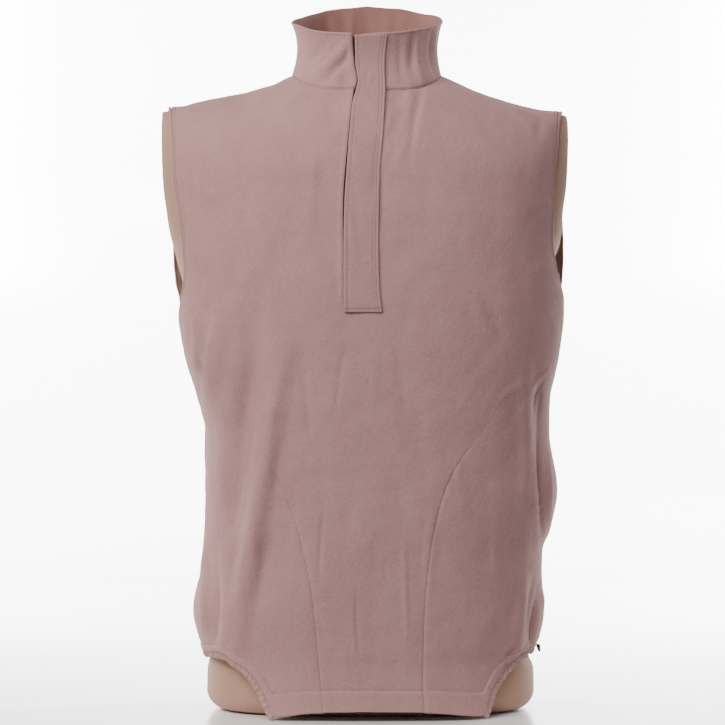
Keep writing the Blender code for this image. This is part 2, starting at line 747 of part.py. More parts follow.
def collar_normal(turn, share):
    step = 0.5
    low = max(share - 0.02, 0.0)
    high = min(share + 0.02, 1.0)
    across = collar_point(turn + step, share) - collar_point(turn - step, share)
    up = collar_point(turn, high) - collar_point(turn, low)
    return across.cross(up).normalized()


def collar_foot(turn):
    """The collar's seam edge, mitred to the edge of the panels."""
    face, angle, level = neck_place(turn)
    normal = drape_normal(face, angle, min(level, RIDGE - 0.0005))
    step = 0.5
    along = collar_point(turn + step, 0.0) - collar_point(turn - step, 0.0)
    inward = normal.cross(along).normalized()
    return drape(face, angle, level) + inward * COLLAR_GAP, normal


COLLAR_ROWS = 6


def make_collar():
    """The stand collar, with a column at each column of the panels' neck edges."""
    front = neck_turns(FRONT)
    ahead = front[NECK_COLUMNS + 1:]
    behind = neck_turns(BACK)[::-1][1:-1]
    turns = ahead + behind + front[: NECK_COLUMNS + 1]
    grid = [[collar_foot(t) for t in turns]]
    for share in spread(0.0, 1.0, COLLAR_ROWS)[1:]:
        grid.append([(collar_point(t, share), collar_normal(t, share)) for t in turns])
    return wall("collar", grid, COLLAR_CLOTH)


def front_line(x, height):
    """The outside or inside line of the closed front, panel below and collar above."""
    if height > NECK_SEAM_HEIGHT:
        turn = neck_turn_at(x)
        foot = collar_point(turn, 0.0).z
        share = min(max((height - foot) / (rim_point(turn).z - foot), 0.04), 1.0)
        return collar_point(turn, share), collar_normal(turn, share)
    level = height
    if height > ROLL:
        share = min((height - ROLL) / (SHOULDERS[0].left_front - ROLL), 1.0)
        level = ROLL + ROLL_SPAN * math.degrees(math.asin(share)) / 90
    angle = angle_at(FRONT, x, level)
    return on_drape(FRONT, angle, level)


FLAP_HEIGHTS = (
    FLAP_FOOT, 0.452, 0.466, 0.482, 0.500, 0.520, 0.540, 0.560, 0.580, 0.600,
    0.622, 0.642, 0.660, 0.675, 0.684, 0.694, 0.706, 0.720, 0.735, 0.7475,
)
FLAP_COLUMNS = 6


def make_flap():
    """The storm flap: free and lifted along its left edge, sewn down along its right edge."""
    grid = []
    for height in FLAP_HEIGHTS:
        left = between(FLAP, "height", "left", height)
        right = between(FLAP, "height", "right", height)
        row = []
        for share in spread(0.0, 1.0, FLAP_COLUMNS):
            point, normal = front_line(left + (right - left) * share, height)
            under = COLLAR_CLOTH if height > THICK_UNDER_FLAP else CLOTH
            lift = FLAP_LIFT * (1 - share) ** 1.5 * min((height - FLAP_FOOT) / FLAP_RAMP, 1.0)
            row.append((point + normal * (under + LAID_ON + lift), normal))
        grid.append(row)
    return wall("placket_flap", grid, FLAP_CLOTH)


def make_zip():
    """The closed zip, as one plain strip behind the opening."""
    grid = []
    for height in FLAP_HEIGHTS[:-1]:
        middle = slot_left(height) + ZIP_SLOT / 2
        row = []
        for share in (-1.0, 0.0, 1.0):
            point, normal = front_line(middle + ZIP_HALF_WIDTH * share, height)
            near_seam = max(0.0, 1 - abs(height - NECK_SEAM_HEIGHT) / ZIP_BEND)
            row.append((point - normal * (TRIM_CLOTH + ZIP_BEHIND * (1 + near_seam)), normal))
        grid.append(row)
    return wall("zip", grid, TRIM_CLOTH)


def edge_strip(name, places, width, ring, towards, rise):
    """A narrow trim that continues the panels past an edge, given as (face, angle, level). It is
    as thick as the cloth and stands out by a little more."""
    feet = [on_drape(face, angle, level) for face, angle, level in places]
    count = len(feet)
    near = []
    far = []
    for i, (point, normal) in enumerate(feet):
        before = feet[i - 1][0] if ring or i > 0 else point
        after = feet[(i + 1) % count][0] if ring or i < count - 1 else point
        away = normal.cross((after - before).normalized()).normalized() * towards
        near.append((point + away * SEAM_GAP, normal))
        far.append((point + away * (SEAM_GAP + width), normal))
    return wall(name, [near, far], CLOTH + rise, ring=ring)


def arm_places(face, side):
    """A panel's armhole edge at each of its rows, from the side seam to the shoulder."""
    levels = [level for level in MIDDLE_ROWS if level >= SIDE_SEAM_TOP[side] - 1e-6]
    places = [(face, side * arm_angle(face, side, level), level) for level in levels]
    start = arm_angle(face, side, ROLL)
    end = arm_angle(face, side, RIDGE)
    for r in range(ROLL_ROWS):
        share = r / (ROLL_ROWS - 1)
        places.append((face, side * (start + (end - start) * share), ROLL + ROLL_SPAN * share))
    return places


def make_binding(name, side):
    """The narrow bound edge of an armhole, up the front and down the back."""
    places = arm_places(FRONT, side) + arm_places(BACK, side)[-2:0:-1]
    return edge_strip(name, places, BINDING_WIDTH, True, -side, BINDING_RISE)


def make_casing(name, side):
    """The elastic casing along a scooped side hem, from the front corner to the back corner."""
    places = [(FRONT, angle, level) for angle, level in side_places(side)[0]
              if abs(angle) >= HEM_CORNER[side] - 1e-6]
    row = panel_places(BACK, back_edge(-1), back_edge(1))[0]
    back = [(BACK, angle, level) for angle, level in row if side * angle >= BACK_CORNER]
    back.sort(key=lambda place: -abs(place[1]))
    return edge_strip(name, places + back[1:], CASING_WIDTH, False, -side, CASING_RISE)


CORD_END_COLUMN = -3
CORD_END_RISE = 0.006
CORD_END_SEAT = 0.0012
CORD_END_RADIUS = 0.0022
CORD_END_LENGTH = 0.009


def make_cord_end():
    """The small tapered black end of the hem elastic, at the wearer's left side."""
    angle, level = side_places(1)[0][CORD_END_COLUMN]
    point, normal = on_drape(FRONT, angle, level + CORD_END_RISE)
    start = point + normal * (TURNED_HEM + CORD_END_SEAT)
    way = Vector((0.18, -0.30, -0.93)).normalized()
    turn = way.to_track_quat("Z", "Y").to_matrix()
    bm = bmesh.new()
    rings = []
    for along, size in ((0.0, 0.7), (0.15, 1.0), (0.55, 0.95), (0.9, 0.6), (1.0, 0.3)):
        ring = []
        for k in range(10):
            a = 2 * math.pi * k / 10
            local = Vector((math.cos(a) * size, math.sin(a) * size, 0)) * CORD_END_RADIUS
            ring.append(bm.verts.new(start + turn @ local + way * CORD_END_LENGTH * along))
        rings.append(ring)
    for low, high in zip(rings, rings[1:]):
        for k in range(10):
            bm.faces.new([low[k], low[(k + 1) % 10], high[(k + 1) % 10], high[k]])
    bm.faces.new(rings[0][::-1])
    bm.faces.new(rings[-1])
    return add_object("cord_end", bm, BLACK, 0.4)


FORM_COLUMNS = 40


def soft_limit(value, limit, edge):
    """A value that levels off smoothly at a limit."""
    return -edge * math.log(math.exp(-value / edge) + math.exp(-limit / edge))


def form_ring(height, draw_in):
    """One horizontal ring of the dress form."""
    ring = []
    row = {field: between(FORM, "height", field, height) for field in FormRow._fields[1:]}
    for k in range(FORM_COLUMNS):
        turn = 360 * k / FORM_COLUMNS
        across, deep = unit_section(turn, row["square"])
        side = "right" if across >= 0 else "left"
        width = row[side] - draw_in
        depth = (row["front"] if deep >= 0 else row["back"]) - draw_in
        x = soft_limit(abs(width * across), row[f"{side}_end"], STUMP_EDGE)
        x = math.copysign(x, across)
        ring.append(Vector((row["centre"] + x, -depth * deep, height)))
    return ring


def make_form():
    """The dress form: a fillet at its base, the torso, the shoulder stumps and the neck."""
    rings = []
    for k in range(5):
        turn = math.radians(90 * k / 4)
        height = FORM_FILLET * (1 - math.cos(turn))
        rings.append(form_ring(height, FORM_FILLET * (1 - math.sin(turn))))
    heights = (0.045, 0.065, 0.100, 0.140, 0.195, 0.250, 0.305, 0.360, 0.400, 0.440, 0.470, 0.492, 0.506)
    heights += (0.520, 0.535, 0.550, 0.568, 0.585, 0.603, 0.620, 0.633, 0.645, 0.653, 0.660)
    heights += (0.664, 0.668, 0.6705, 0.673, 0.676, 0.680, 0.685, 0.692, 0.702, 0.712, 0.722, 0.727)
    for height in heights:
        rings.append(form_ring(height, 0.0))
    rings.append(form_ring(0.730, 0.004))
    bm = bmesh.new()
    rows = [[bm.verts.new(point) for point in ring] for ring in rings]
    for low, high in zip(rows, rows[1:]):
        for k in range(FORM_COLUMNS):
            n = (k + 1) % FORM_COLUMNS
            bm.faces.new([low[k], low[n], high[n], high[k]])
    bm.faces.new(rows[0][::-1])
    bm.faces.new(rows[-1])
    return add_object("torso_form", bm, FORM_COLOUR)


def clear_scene():
    for item in list(bpy.data.objects):
        bpy.data.objects.remove(item, do_unlink=True)


def main():
    clear_scene()
    make_form()
    make_front()
    make_side_front("side_front_right", -1)
    make_side_front("side_front_left", 1)
    make_back()
    make_collar()
    make_flap()
    make_zip()
    make_binding("armhole_binding_right", -1)
    make_binding("armhole_binding_left", 1)
    make_casing("hem_casing_right", -1)
    make_casing("hem_casing_left", 1)
    make_cord_end()


main()
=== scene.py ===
# %% [markdown]
# # A wind vest on a torso dress form
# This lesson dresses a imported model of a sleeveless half-zip wind vest. The solids of the model
# already have the garment's form. Here each piece of cloth becomes a fine, closed, thin shell on
# the same drape surface, with creases, turned edges, sewing and a cloth finish.

# %% Load the model and keep its box
import math

import bpy
import numpy as np
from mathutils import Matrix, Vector, noise


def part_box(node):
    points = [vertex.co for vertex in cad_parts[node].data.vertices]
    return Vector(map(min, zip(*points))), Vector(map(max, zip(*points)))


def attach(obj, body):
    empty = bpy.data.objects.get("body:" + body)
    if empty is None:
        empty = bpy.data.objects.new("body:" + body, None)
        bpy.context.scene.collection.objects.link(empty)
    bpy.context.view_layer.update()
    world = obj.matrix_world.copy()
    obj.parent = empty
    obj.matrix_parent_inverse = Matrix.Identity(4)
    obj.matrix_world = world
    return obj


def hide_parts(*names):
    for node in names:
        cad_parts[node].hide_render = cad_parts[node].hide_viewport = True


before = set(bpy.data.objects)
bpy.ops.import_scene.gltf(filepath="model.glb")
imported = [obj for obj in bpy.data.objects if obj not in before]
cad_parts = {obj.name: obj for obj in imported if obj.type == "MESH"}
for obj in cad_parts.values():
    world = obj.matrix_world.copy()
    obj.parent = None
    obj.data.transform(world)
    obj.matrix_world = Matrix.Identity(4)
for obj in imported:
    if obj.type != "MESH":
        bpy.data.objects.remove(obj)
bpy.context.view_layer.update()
print("solids:", sorted(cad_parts))

# %% [markdown]
# The camera stands where the photographer stood: level, a little above the vest's middle and
# 2.7 m away. A long lens from far off keeps the sides of the vest nearly parallel.

# %% The camera
CAMERA_PLACE = (-0.0051, -2.7, 0.388)
CAMERA_LENS = 118.7
camera_data = bpy.data.cameras.new("camera")
camera_data.lens = CAMERA_LENS
camera_data.sensor_width = 36.0
camera = bpy.data.objects.new("camera", camera_data)
camera.location = CAMERA_PLACE
camera.rotation_euler = (math.radians(90), 0, 0)
bpy.context.scene.collection.objects.link(camera)
bpy.context.scene.camera = camera
print("camera lens", camera_data.lens)

# %% [markdown]
# ## The drape surface
# The worn vest is described by a few short tables, in metres: horizontal sections up to the
# chest, then arches that roll over to the shoulder line. A place on it is given by an angle round
# the body, 0 at the middle and 90 at the side seam, and a level up the body. These are the same
# tables that the solids were made from, so a fine shell made here lies where they are.

# %% Tables of the worn vest
FRONT, BACK = -1, 1
NAMES = {FRONT: "front", BACK: "back"}
ROLL = 0.585
ROLL_SPAN = 0.100
RIDGE = ROLL + ROLL_SPAN
SEAM_APEX = 0.408
SEAM_LEAN = 0.35
HEM_BASE = 0.030
HEM_BLEND = 0.085
HEM_TURN_UP = 0.0255
SIDE_SEAM_TOP = {-1: 0.440, 1: 0.460}
HEM_CORNER = {-1: 32.0, 1: 39.5}
BACK_CORNER = 38.0
SIDES = {-1: "left", 1: "right"}  # the picture's side, as the tables name it
WEARER_SIDES = ((-1, "right"), (1, "left"))  # the wearer's side, as the pieces name it


def table(names, *rows):
    """A table with named columns. The first column is what it is read by."""
    return dict(zip(names.split(), np.array(rows, float).T))


SECTIONS = table(
    "height left_front right_front left_back right_back front back square",
    (0.000, 0.1800, 0.1820, 0.1800, 0.1820, 0.1150, 0.1150, 2.55),
    (0.060, 0.1815, 0.1840, 0.1815, 0.1840, 0.1175, 0.1180, 2.55),
    (0.070, 0.1838, 0.1868, 0.1838, 0.1868, 0.1185, 0.1190, 2.55),
    (0.080, 0.1882, 0.1930, 0.1882, 0.1930, 0.1190, 0.1200, 2.55),
    (0.110, 0.1940, 0.1985, 0.1940, 0.1985, 0.1205, 0.1225, 2.50),
    (0.152, 0.1870, 0.1960, 0.1870, 0.1960, 0.1215, 0.1240, 2.45),
    (0.178, 0.1840, 0.1970, 0.1840, 0.1970, 0.1220, 0.1245, 2.40),
    (0.200, 0.1822, 0.2045, 0.1822, 0.2045, 0.1225, 0.1250, 2.40),
    (0.245, 0.1805, 0.2130, 0.1805, 0.2130, 0.1235, 0.1255, 2.40),
    (0.310, 0.1810, 0.2040, 0.1810, 0.2040, 0.1255, 0.1265, 2.45),
    (0.345, 0.1890, 0.2050, 0.1890, 0.2050, 0.1270, 0.1280, 2.50),
    (0.400, 0.2050, 0.2153, 0.2050, 0.2153, 0.1290, 0.1305, 2.50),
    (0.440, 0.2110, 0.2200, 0.2110, 0.2200, 0.1300, 0.1320, 2.50),
    (0.460, 0.2115, 0.2205, 0.2190, 0.2205, 0.1305, 0.1325, 2.50),
    (0.480, 0.2125, 0.2195, 0.2280, 0.2280, 0.1305, 0.1345, 2.50),
    (0.512, 0.2180, 0.2185, 0.2340, 0.2355, 0.1300, 0.1353, 2.50),
    (0.545, 0.2230, 0.2205, 0.2375, 0.2385, 0.1285, 0.1348, 2.50),
    (0.585, 0.2310, 0.2235, 0.2390, 0.2380, 0.1250, 0.1310, 2.50),
    (0.635, 0.2355, 0.2295, 0.2400, 0.2365, 0.1230, 0.1290, 2.50),
    (0.685, 0.2405, 0.2360, 0.2405, 0.2360, 0.1210, 0.1270, 2.50),
)
SHOULDERS = table(
    "offset left_front right_front left_back right_back",
    (0.000, 0.7270, 0.7270, 0.7660, 0.7660),
    (0.040, 0.7220, 0.7215, 0.7540, 0.7540),
    (0.0825, 0.7100, 0.7095, 0.7100, 0.7095),
    (0.112, 0.6965, 0.6965, 0.6965, 0.6965),
    (0.140, 0.6865, 0.6860, 0.6865, 0.6860),
    (0.166, 0.6825, 0.6778, 0.6825, 0.6778),
    (0.193, 0.6785, 0.6722, 0.6785, 0.6722),
    (0.207, 0.6760, 0.6710, 0.6760, 0.6710),
    (0.225, 0.6750, 0.6705, 0.6750, 0.6705),
)
RIM = table(
    "turn left right",
    (0.0, 0.7480, 0.7480), (20.0, 0.7497, 0.7505), (37.0, 0.7527, 0.7545),
    (50.0, 0.7582, 0.7590), (62.0, 0.7640, 0.7640), (90.0, 0.7725, 0.7740),
    (116.0, 0.7820, 0.7850), (140.0, 0.7922, 0.7930), (155.0, 0.7985, 0.7992),
    (180.0, 0.8025, 0.8025),
)
HEM = table(
    "angle left_front right_front back",
    (0.0, 0.0105, 0.0105, 0.0100), (20.0, 0.0090, 0.0095, 0.0085),
    (32.0, 0.0042, 0.0058, 0.0060), (34.5, 0.0200, 0.0050, 0.0060),
    (36.5, 0.0350, 0.0044, 0.0110), (39.5, 0.0470, 0.0040, 0.0230),
    (41.5, 0.0530, 0.0160, 0.0330), (43.5, 0.0570, 0.0330, 0.0410),
    (46.5, 0.0620, 0.0440, 0.0500), (50.0, 0.0670, 0.0540, 0.0580),
    (54.0, 0.0700, 0.0620, 0.0640), (60.0, 0.0695, 0.0680, 0.0680),
    (68.0, 0.0680, 0.0705, 0.0690), (90.0, 0.0685, 0.0685, 0.0685),
)
FRONT_SEAMS = table(
    "height left right",
    (0.000, 0.0462, 0.0625), (0.040, 0.0503, 0.0606), (0.088, 0.0548, 0.0613),
    (0.131, 0.0591, 0.0633), (0.187, 0.0700, 0.0690), (0.236, 0.0846, 0.0800),
    (0.275, 0.1023, 0.0965), (0.308, 0.1190, 0.1215), (0.342, 0.1400, 0.1450),
)
ARMHOLES = table(
    "rise left_front right_front left_back right_back",
    (0.000, 90.0, 90.0, 90.0, 90.0), (0.006, 78.0, 78.0, 78.5, 78.5),
    (0.012, 74.0, 74.0, 75.0, 75.0), (0.032, 67.0, 66.5, 69.0, 69.0),
    (0.060, 63.0, 62.5, 65.5, 65.5), (0.100, 61.0, 61.0, 63.0, 63.0),
    (0.141, 60.5, 60.5, 61.5, 61.5), (0.241, 60.5, 60.5, 60.5, 60.5),
)
FLAP = table(
    "height left right",
    (0.4425, -0.0244, 0.0157), (0.463, -0.0247, 0.0131), (0.515, -0.0247, 0.0117),
    (0.557, -0.0239, 0.0123), (0.600, -0.0212, 0.0135), (0.635, -0.0185, 0.0166),
    (0.670, -0.0149, 0.0185), (0.6835, -0.0111, 0.0193), (0.693, -0.0094, 0.0196),
    (0.704, -0.0111, 0.0198), (0.714, -0.0131, 0.0200), (0.750, -0.0124, 0.0216),
)
FOLDS = {FRONT: (
    # x and height of the upper end, x and height of the lower end, half width, height
    (-0.0850, 0.440, -0.1520, 0.060, 0.022, 0.0060),
    (-0.1150, 0.490, -0.1480, 0.190, 0.020, -0.0055),
    (-0.0990, 0.215, -0.1150, 0.120, 0.014, -0.0030),
    (-0.1500, 0.465, -0.1780, 0.340, 0.018, 0.0045),
    (-0.1700, 0.190, -0.1690, 0.070, 0.013, -0.0045),
    (0.1860, 0.405, 0.1930, 0.170, 0.014, -0.0040),
    (0.1720, 0.400, 0.1780, 0.190, 0.013, 0.0030),
    (0.1850, 0.160, 0.1770, 0.066, 0.011, -0.0045),
    (0.1700, 0.160, 0.1640, 0.070, 0.012, 0.0035),
    (0.0560, 0.690, 0.0400, 0.620, 0.011, -0.0025),
), BACK: (
    (-0.1250, 0.420, -0.1480, 0.080, 0.024, 0.0060),
    (-0.0850, 0.330, -0.1000, 0.090, 0.022, -0.0045),
    (0.1300, 0.400, 0.1500, 0.080, 0.024, 0.0060),
    (0.0900, 0.340, 0.1080, 0.090, 0.022, -0.0045),
    (0.0000, 0.640, 0.0050, 0.440, 0.030, -0.0035),
    (-0.1600, 0.500, -0.1750, 0.330, 0.020, -0.0040),
    (0.1650, 0.500, 0.1780, 0.340, 0.020, -0.0040),
)}
print("sections:", len(SECTIONS["height"]), "folds:", sum(map(len, FOLDS.values())))

# %% [markdown]
# Two small tools read the tables. One follows a column smoothly between its rows without ever
# overshooting, and the other finds where a rising quantity passes a value by halving the span.

# %% Reading the tables


def read(columns, field, at):
    """A column's value between its rows, on a smooth curve that never overshoots."""
    keys = next(iter(columns.values()))
    values = columns[field]
    steps = np.diff(values) / np.diff(keys)
    slopes = np.concatenate([steps[:1], np.zeros(len(steps) - 1), steps[-1:]])
    before, after = steps[:-1], steps[1:]
    alike = before * after > 0
    slopes[1:-1][alike] = 2 * before[alike] * after[alike] / (before[alike] + after[alike])
    at = np.clip(at, keys[0], keys[-1])
    i = np.clip(np.searchsorted(keys, at, side="right") - 1, 0, len(steps) - 1)
    span = keys[i + 1] - keys[i]
    t = (at - keys[i]) / span
    rise = (2 * t**3 - 3 * t**2 + 1) * values[i] + (3 * t**2 - 2 * t**3) * values[i + 1]
    lean = (t**3 - 2 * t**2 + t) * slopes[i] + (t**3 - t**2) * slopes[i + 1]
    return rise + span * lean


def solve(function, low, high, shape):
    """Where a rising function passes zero, for a whole array at once."""
    low = np.full(shape, float(low))
    high = np.full(shape, float(high))
    for _ in range(36):
        middle = (low + high) / 2
        under = function(middle) < 0
        low = np.where(under, middle, low)
        high = np.where(under, high, middle)
    return (low + high) / 2


def unit_section(angle, square):
    """A point of the unit section: across and deep, at an angle from straight ahead."""
    across = np.sin(np.radians(angle))
    deep = np.cos(np.radians(angle))
    size = (np.abs(across) ** square + np.abs(deep) ** square) ** (1 / square)
    return across / size, deep / size


def plain_drape(face, angle, level):
    """The drape surface without folds."""
    angle, level = np.broadcast_arrays(np.asarray(angle, float), np.asarray(level, float))
    name = NAMES[face]
    across, deep = unit_section(angle, read(SECTIONS, "square", level))
    halves = [read(SECTIONS, f"{side}_{name}", level) for side in ("left", "right")]
    x = np.where(angle < 0, *halves) * across
    y = face * read(SECTIONS, name, level) * deep
    turn = np.radians(90) * np.clip((level - ROLL) / ROLL_SPAN, 0, 1)
    tops = [read(SHOULDERS, f"{side}_{name}", np.abs(x)) for side in ("left", "right")]
    top = np.where(angle < 0, *tops)
    z = np.where(level > ROLL, ROLL + (top - ROLL) * np.sin(turn), level)
    return np.stack([x, y * np.cos(turn), z], -1)


def fold_height(face, x, z):
    """How far the large folds stand out."""
    total = np.zeros(np.shape(x))
    for x_top, top, x_bottom, bottom, half_width, height in FOLDS[face]:
        along = (z - bottom) / (top - bottom)
        off = (x - x_bottom - (x_top - x_bottom) * along) / half_width
        inside = (along > 0) & (along < 1) & (np.abs(off) < 1)
        shape = (1 - off**2) ** 2 * np.sin(np.pi * np.clip(along, 0, 1)) ** 0.8
        total += np.where(inside, height * shape, 0)
    return total


def unit(vectors):
    size = np.linalg.norm(vectors, axis=-1, keepdims=True)
    return vectors / np.maximum(size, 1e-12)


def normal_of(function, angle, level, top=RIDGE):
    """The normal of a surface given by two numbers, from small steps on each side."""
    level = np.asarray(level, float)
    high = np.minimum(level + 0.0006, top)
    low = np.maximum(level - 0.0006, 0)
    across = function(angle + 0.4, level) - function(angle - 0.4, level)
    return unit(np.cross(across, function(angle, high) - function(angle, low)))


def plain_normal(face, angle, level):
    """The normal of the drape surface without folds."""
    return -face * normal_of(lambda a, v: plain_drape(face, a, v), angle, level)


def drape(face, angle, level):
    """The vest's inner surface, large folds included."""
    place = plain_drape(face, angle, level)
    rise = fold_height(face, place[..., 0], place[..., 2])
    return place + rise[..., None] * plain_normal(face, angle, level)


def angle_at(face, x, level):
    """The angle at which the section passes a distance from the middle."""
    shape = np.broadcast(x, level).shape
    return solve(lambda a: plain_drape(face, a, level)[..., 0] - x, -90, 90, shape)


print("chest depth:", round(float(plain_drape(FRONT, 0, 0.45)[1]), 4))

# %% [markdown]
# The edges of the pieces are given as an angle at each level: the curved front seams, the side
# seams and the armholes. Round the neck, a turn from straight ahead says where a place is, and
# the collar seam is where an upright oval meets the drape surface.

# %% Edges of the pieces
NECK_HALF_WIDTH, NECK_FRONT, NECK_BACK = 0.0825, 0.085, 0.078
NECK_SQUARE_FRONT, NECK_SQUARE_BACK = 3.0, 2.3
NECK_SEAM_HEIGHT = 0.687
RIM_HALF_WIDTH, RIM_FRONT, RIM_BACK, RIM_SQUARE = 0.0835, 0.080, 0.082, 2.3
COLLAR_PINCH = 0.0065
ZIP_END = 0.450
ZIP_SLOT = 0.008
SLOT_PAST_FLAP = 0.0006


def arm_angle(face, side, level):
    """Angle of the armhole edge, or of the side seam below the armhole."""
    return read(ARMHOLES, f"{SIDES[side]}_{NAMES[face]}", level - SIDE_SEAM_TOP[side])


def front_seam_angle(side, level):
    """Angle of the curved front seam, from the middle."""
    last = FRONT_SEAMS["height"][-1]

    def on_table(height):
        return np.abs(angle_at(FRONT, side * read(FRONT_SEAMS, SIDES[side], height), height))

    along = np.clip((level - last) / (SEAM_APEX - last), 0, 1)
    start = on_table(np.array([last]))[0]
    above = start + (90 - start) * (SEAM_LEAN * along + (1 - SEAM_LEAN) * along**2)
    return np.where(level <= last, on_table(np.minimum(level, last)), above)


def front_edge(side):
    """The front panel's edge: the curved seam, then the side seam, then the armhole."""
    def at(level):
        seam = front_seam_angle(side, level)
        return side * np.where(level < SEAM_APEX, seam, arm_angle(FRONT, side, level))
    return at


def back_edge(side):
    return lambda level: side * arm_angle(BACK, side, level)


def hem_level(face, angle):
    """Height of the cloth's lower edge."""
    if face == BACK:
        return read(HEM, "back", np.abs(angle))
    fields = [read(HEM, f"{side}_front", np.abs(angle)) for side in ("left", "right")]
    return np.where(np.asarray(angle) < 0, *fields)


def neck_plan(turn):
    """The collar seam in plan, at a turn from straight ahead (0) to straight back (180)."""
    ahead = np.cos(np.radians(turn)) >= 0
    across, deep = unit_section(turn, np.where(ahead, NECK_SQUARE_FRONT, NECK_SQUARE_BACK))
    return NECK_HALF_WIDTH * across, -np.where(ahead, NECK_FRONT, NECK_BACK) * deep


def neck_place(turn):
    """Where the collar seam crosses the drape surface: angle and level, and which face."""
    turn = np.asarray(turn, float)
    x, y = neck_plan(turn)
    found = {}
    for face in (FRONT, BACK):
        level = np.full(x.shape, RIDGE)
        for _ in range(12):
            angle = angle_at(face, x, level)
            deep = unit_section(angle, read(SECTIONS, "square", level))[1]
            share = np.clip(np.abs(y) / (read(SECTIONS, NAMES[face], level) * deep), 0, 1)
            level = ROLL + ROLL_SPAN * np.degrees(np.arccos(share)) / 90
        found[face] = (angle, level)
    ahead = y <= 0
    angle = np.where(ahead, found[FRONT][0], found[BACK][0])
    level = np.where(ahead, found[FRONT][1], found[BACK][1])
    return ahead, angle, level


def neck_turn_at(x):
    return solve(lambda turn: neck_plan(turn)[0] - x, -60, 60, np.shape(x))


def rim_point(turn):
    """The collar's rim."""
    ahead = np.cos(np.radians(turn)) >= 0
    across, deep = unit_section(turn, RIM_SQUARE)
    from_front = 180 - np.abs(np.abs(turn) % 360 - 180)
    height = np.where(across < 0, read(RIM, "left", from_front), read(RIM, "right", from_front))
    y = -np.where(ahead, RIM_FRONT, RIM_BACK) * deep
    return np.stack([RIM_HALF_WIDTH * across, y, height], -1)


def slot_left(height):
    """The zip opening's left edge, just past the flap's free edge."""
    return read(FLAP, "left", height) - SLOT_PAST_FLAP


print("neck seam's level at the front:", round(float(neck_place(0.0)[2]), 4))
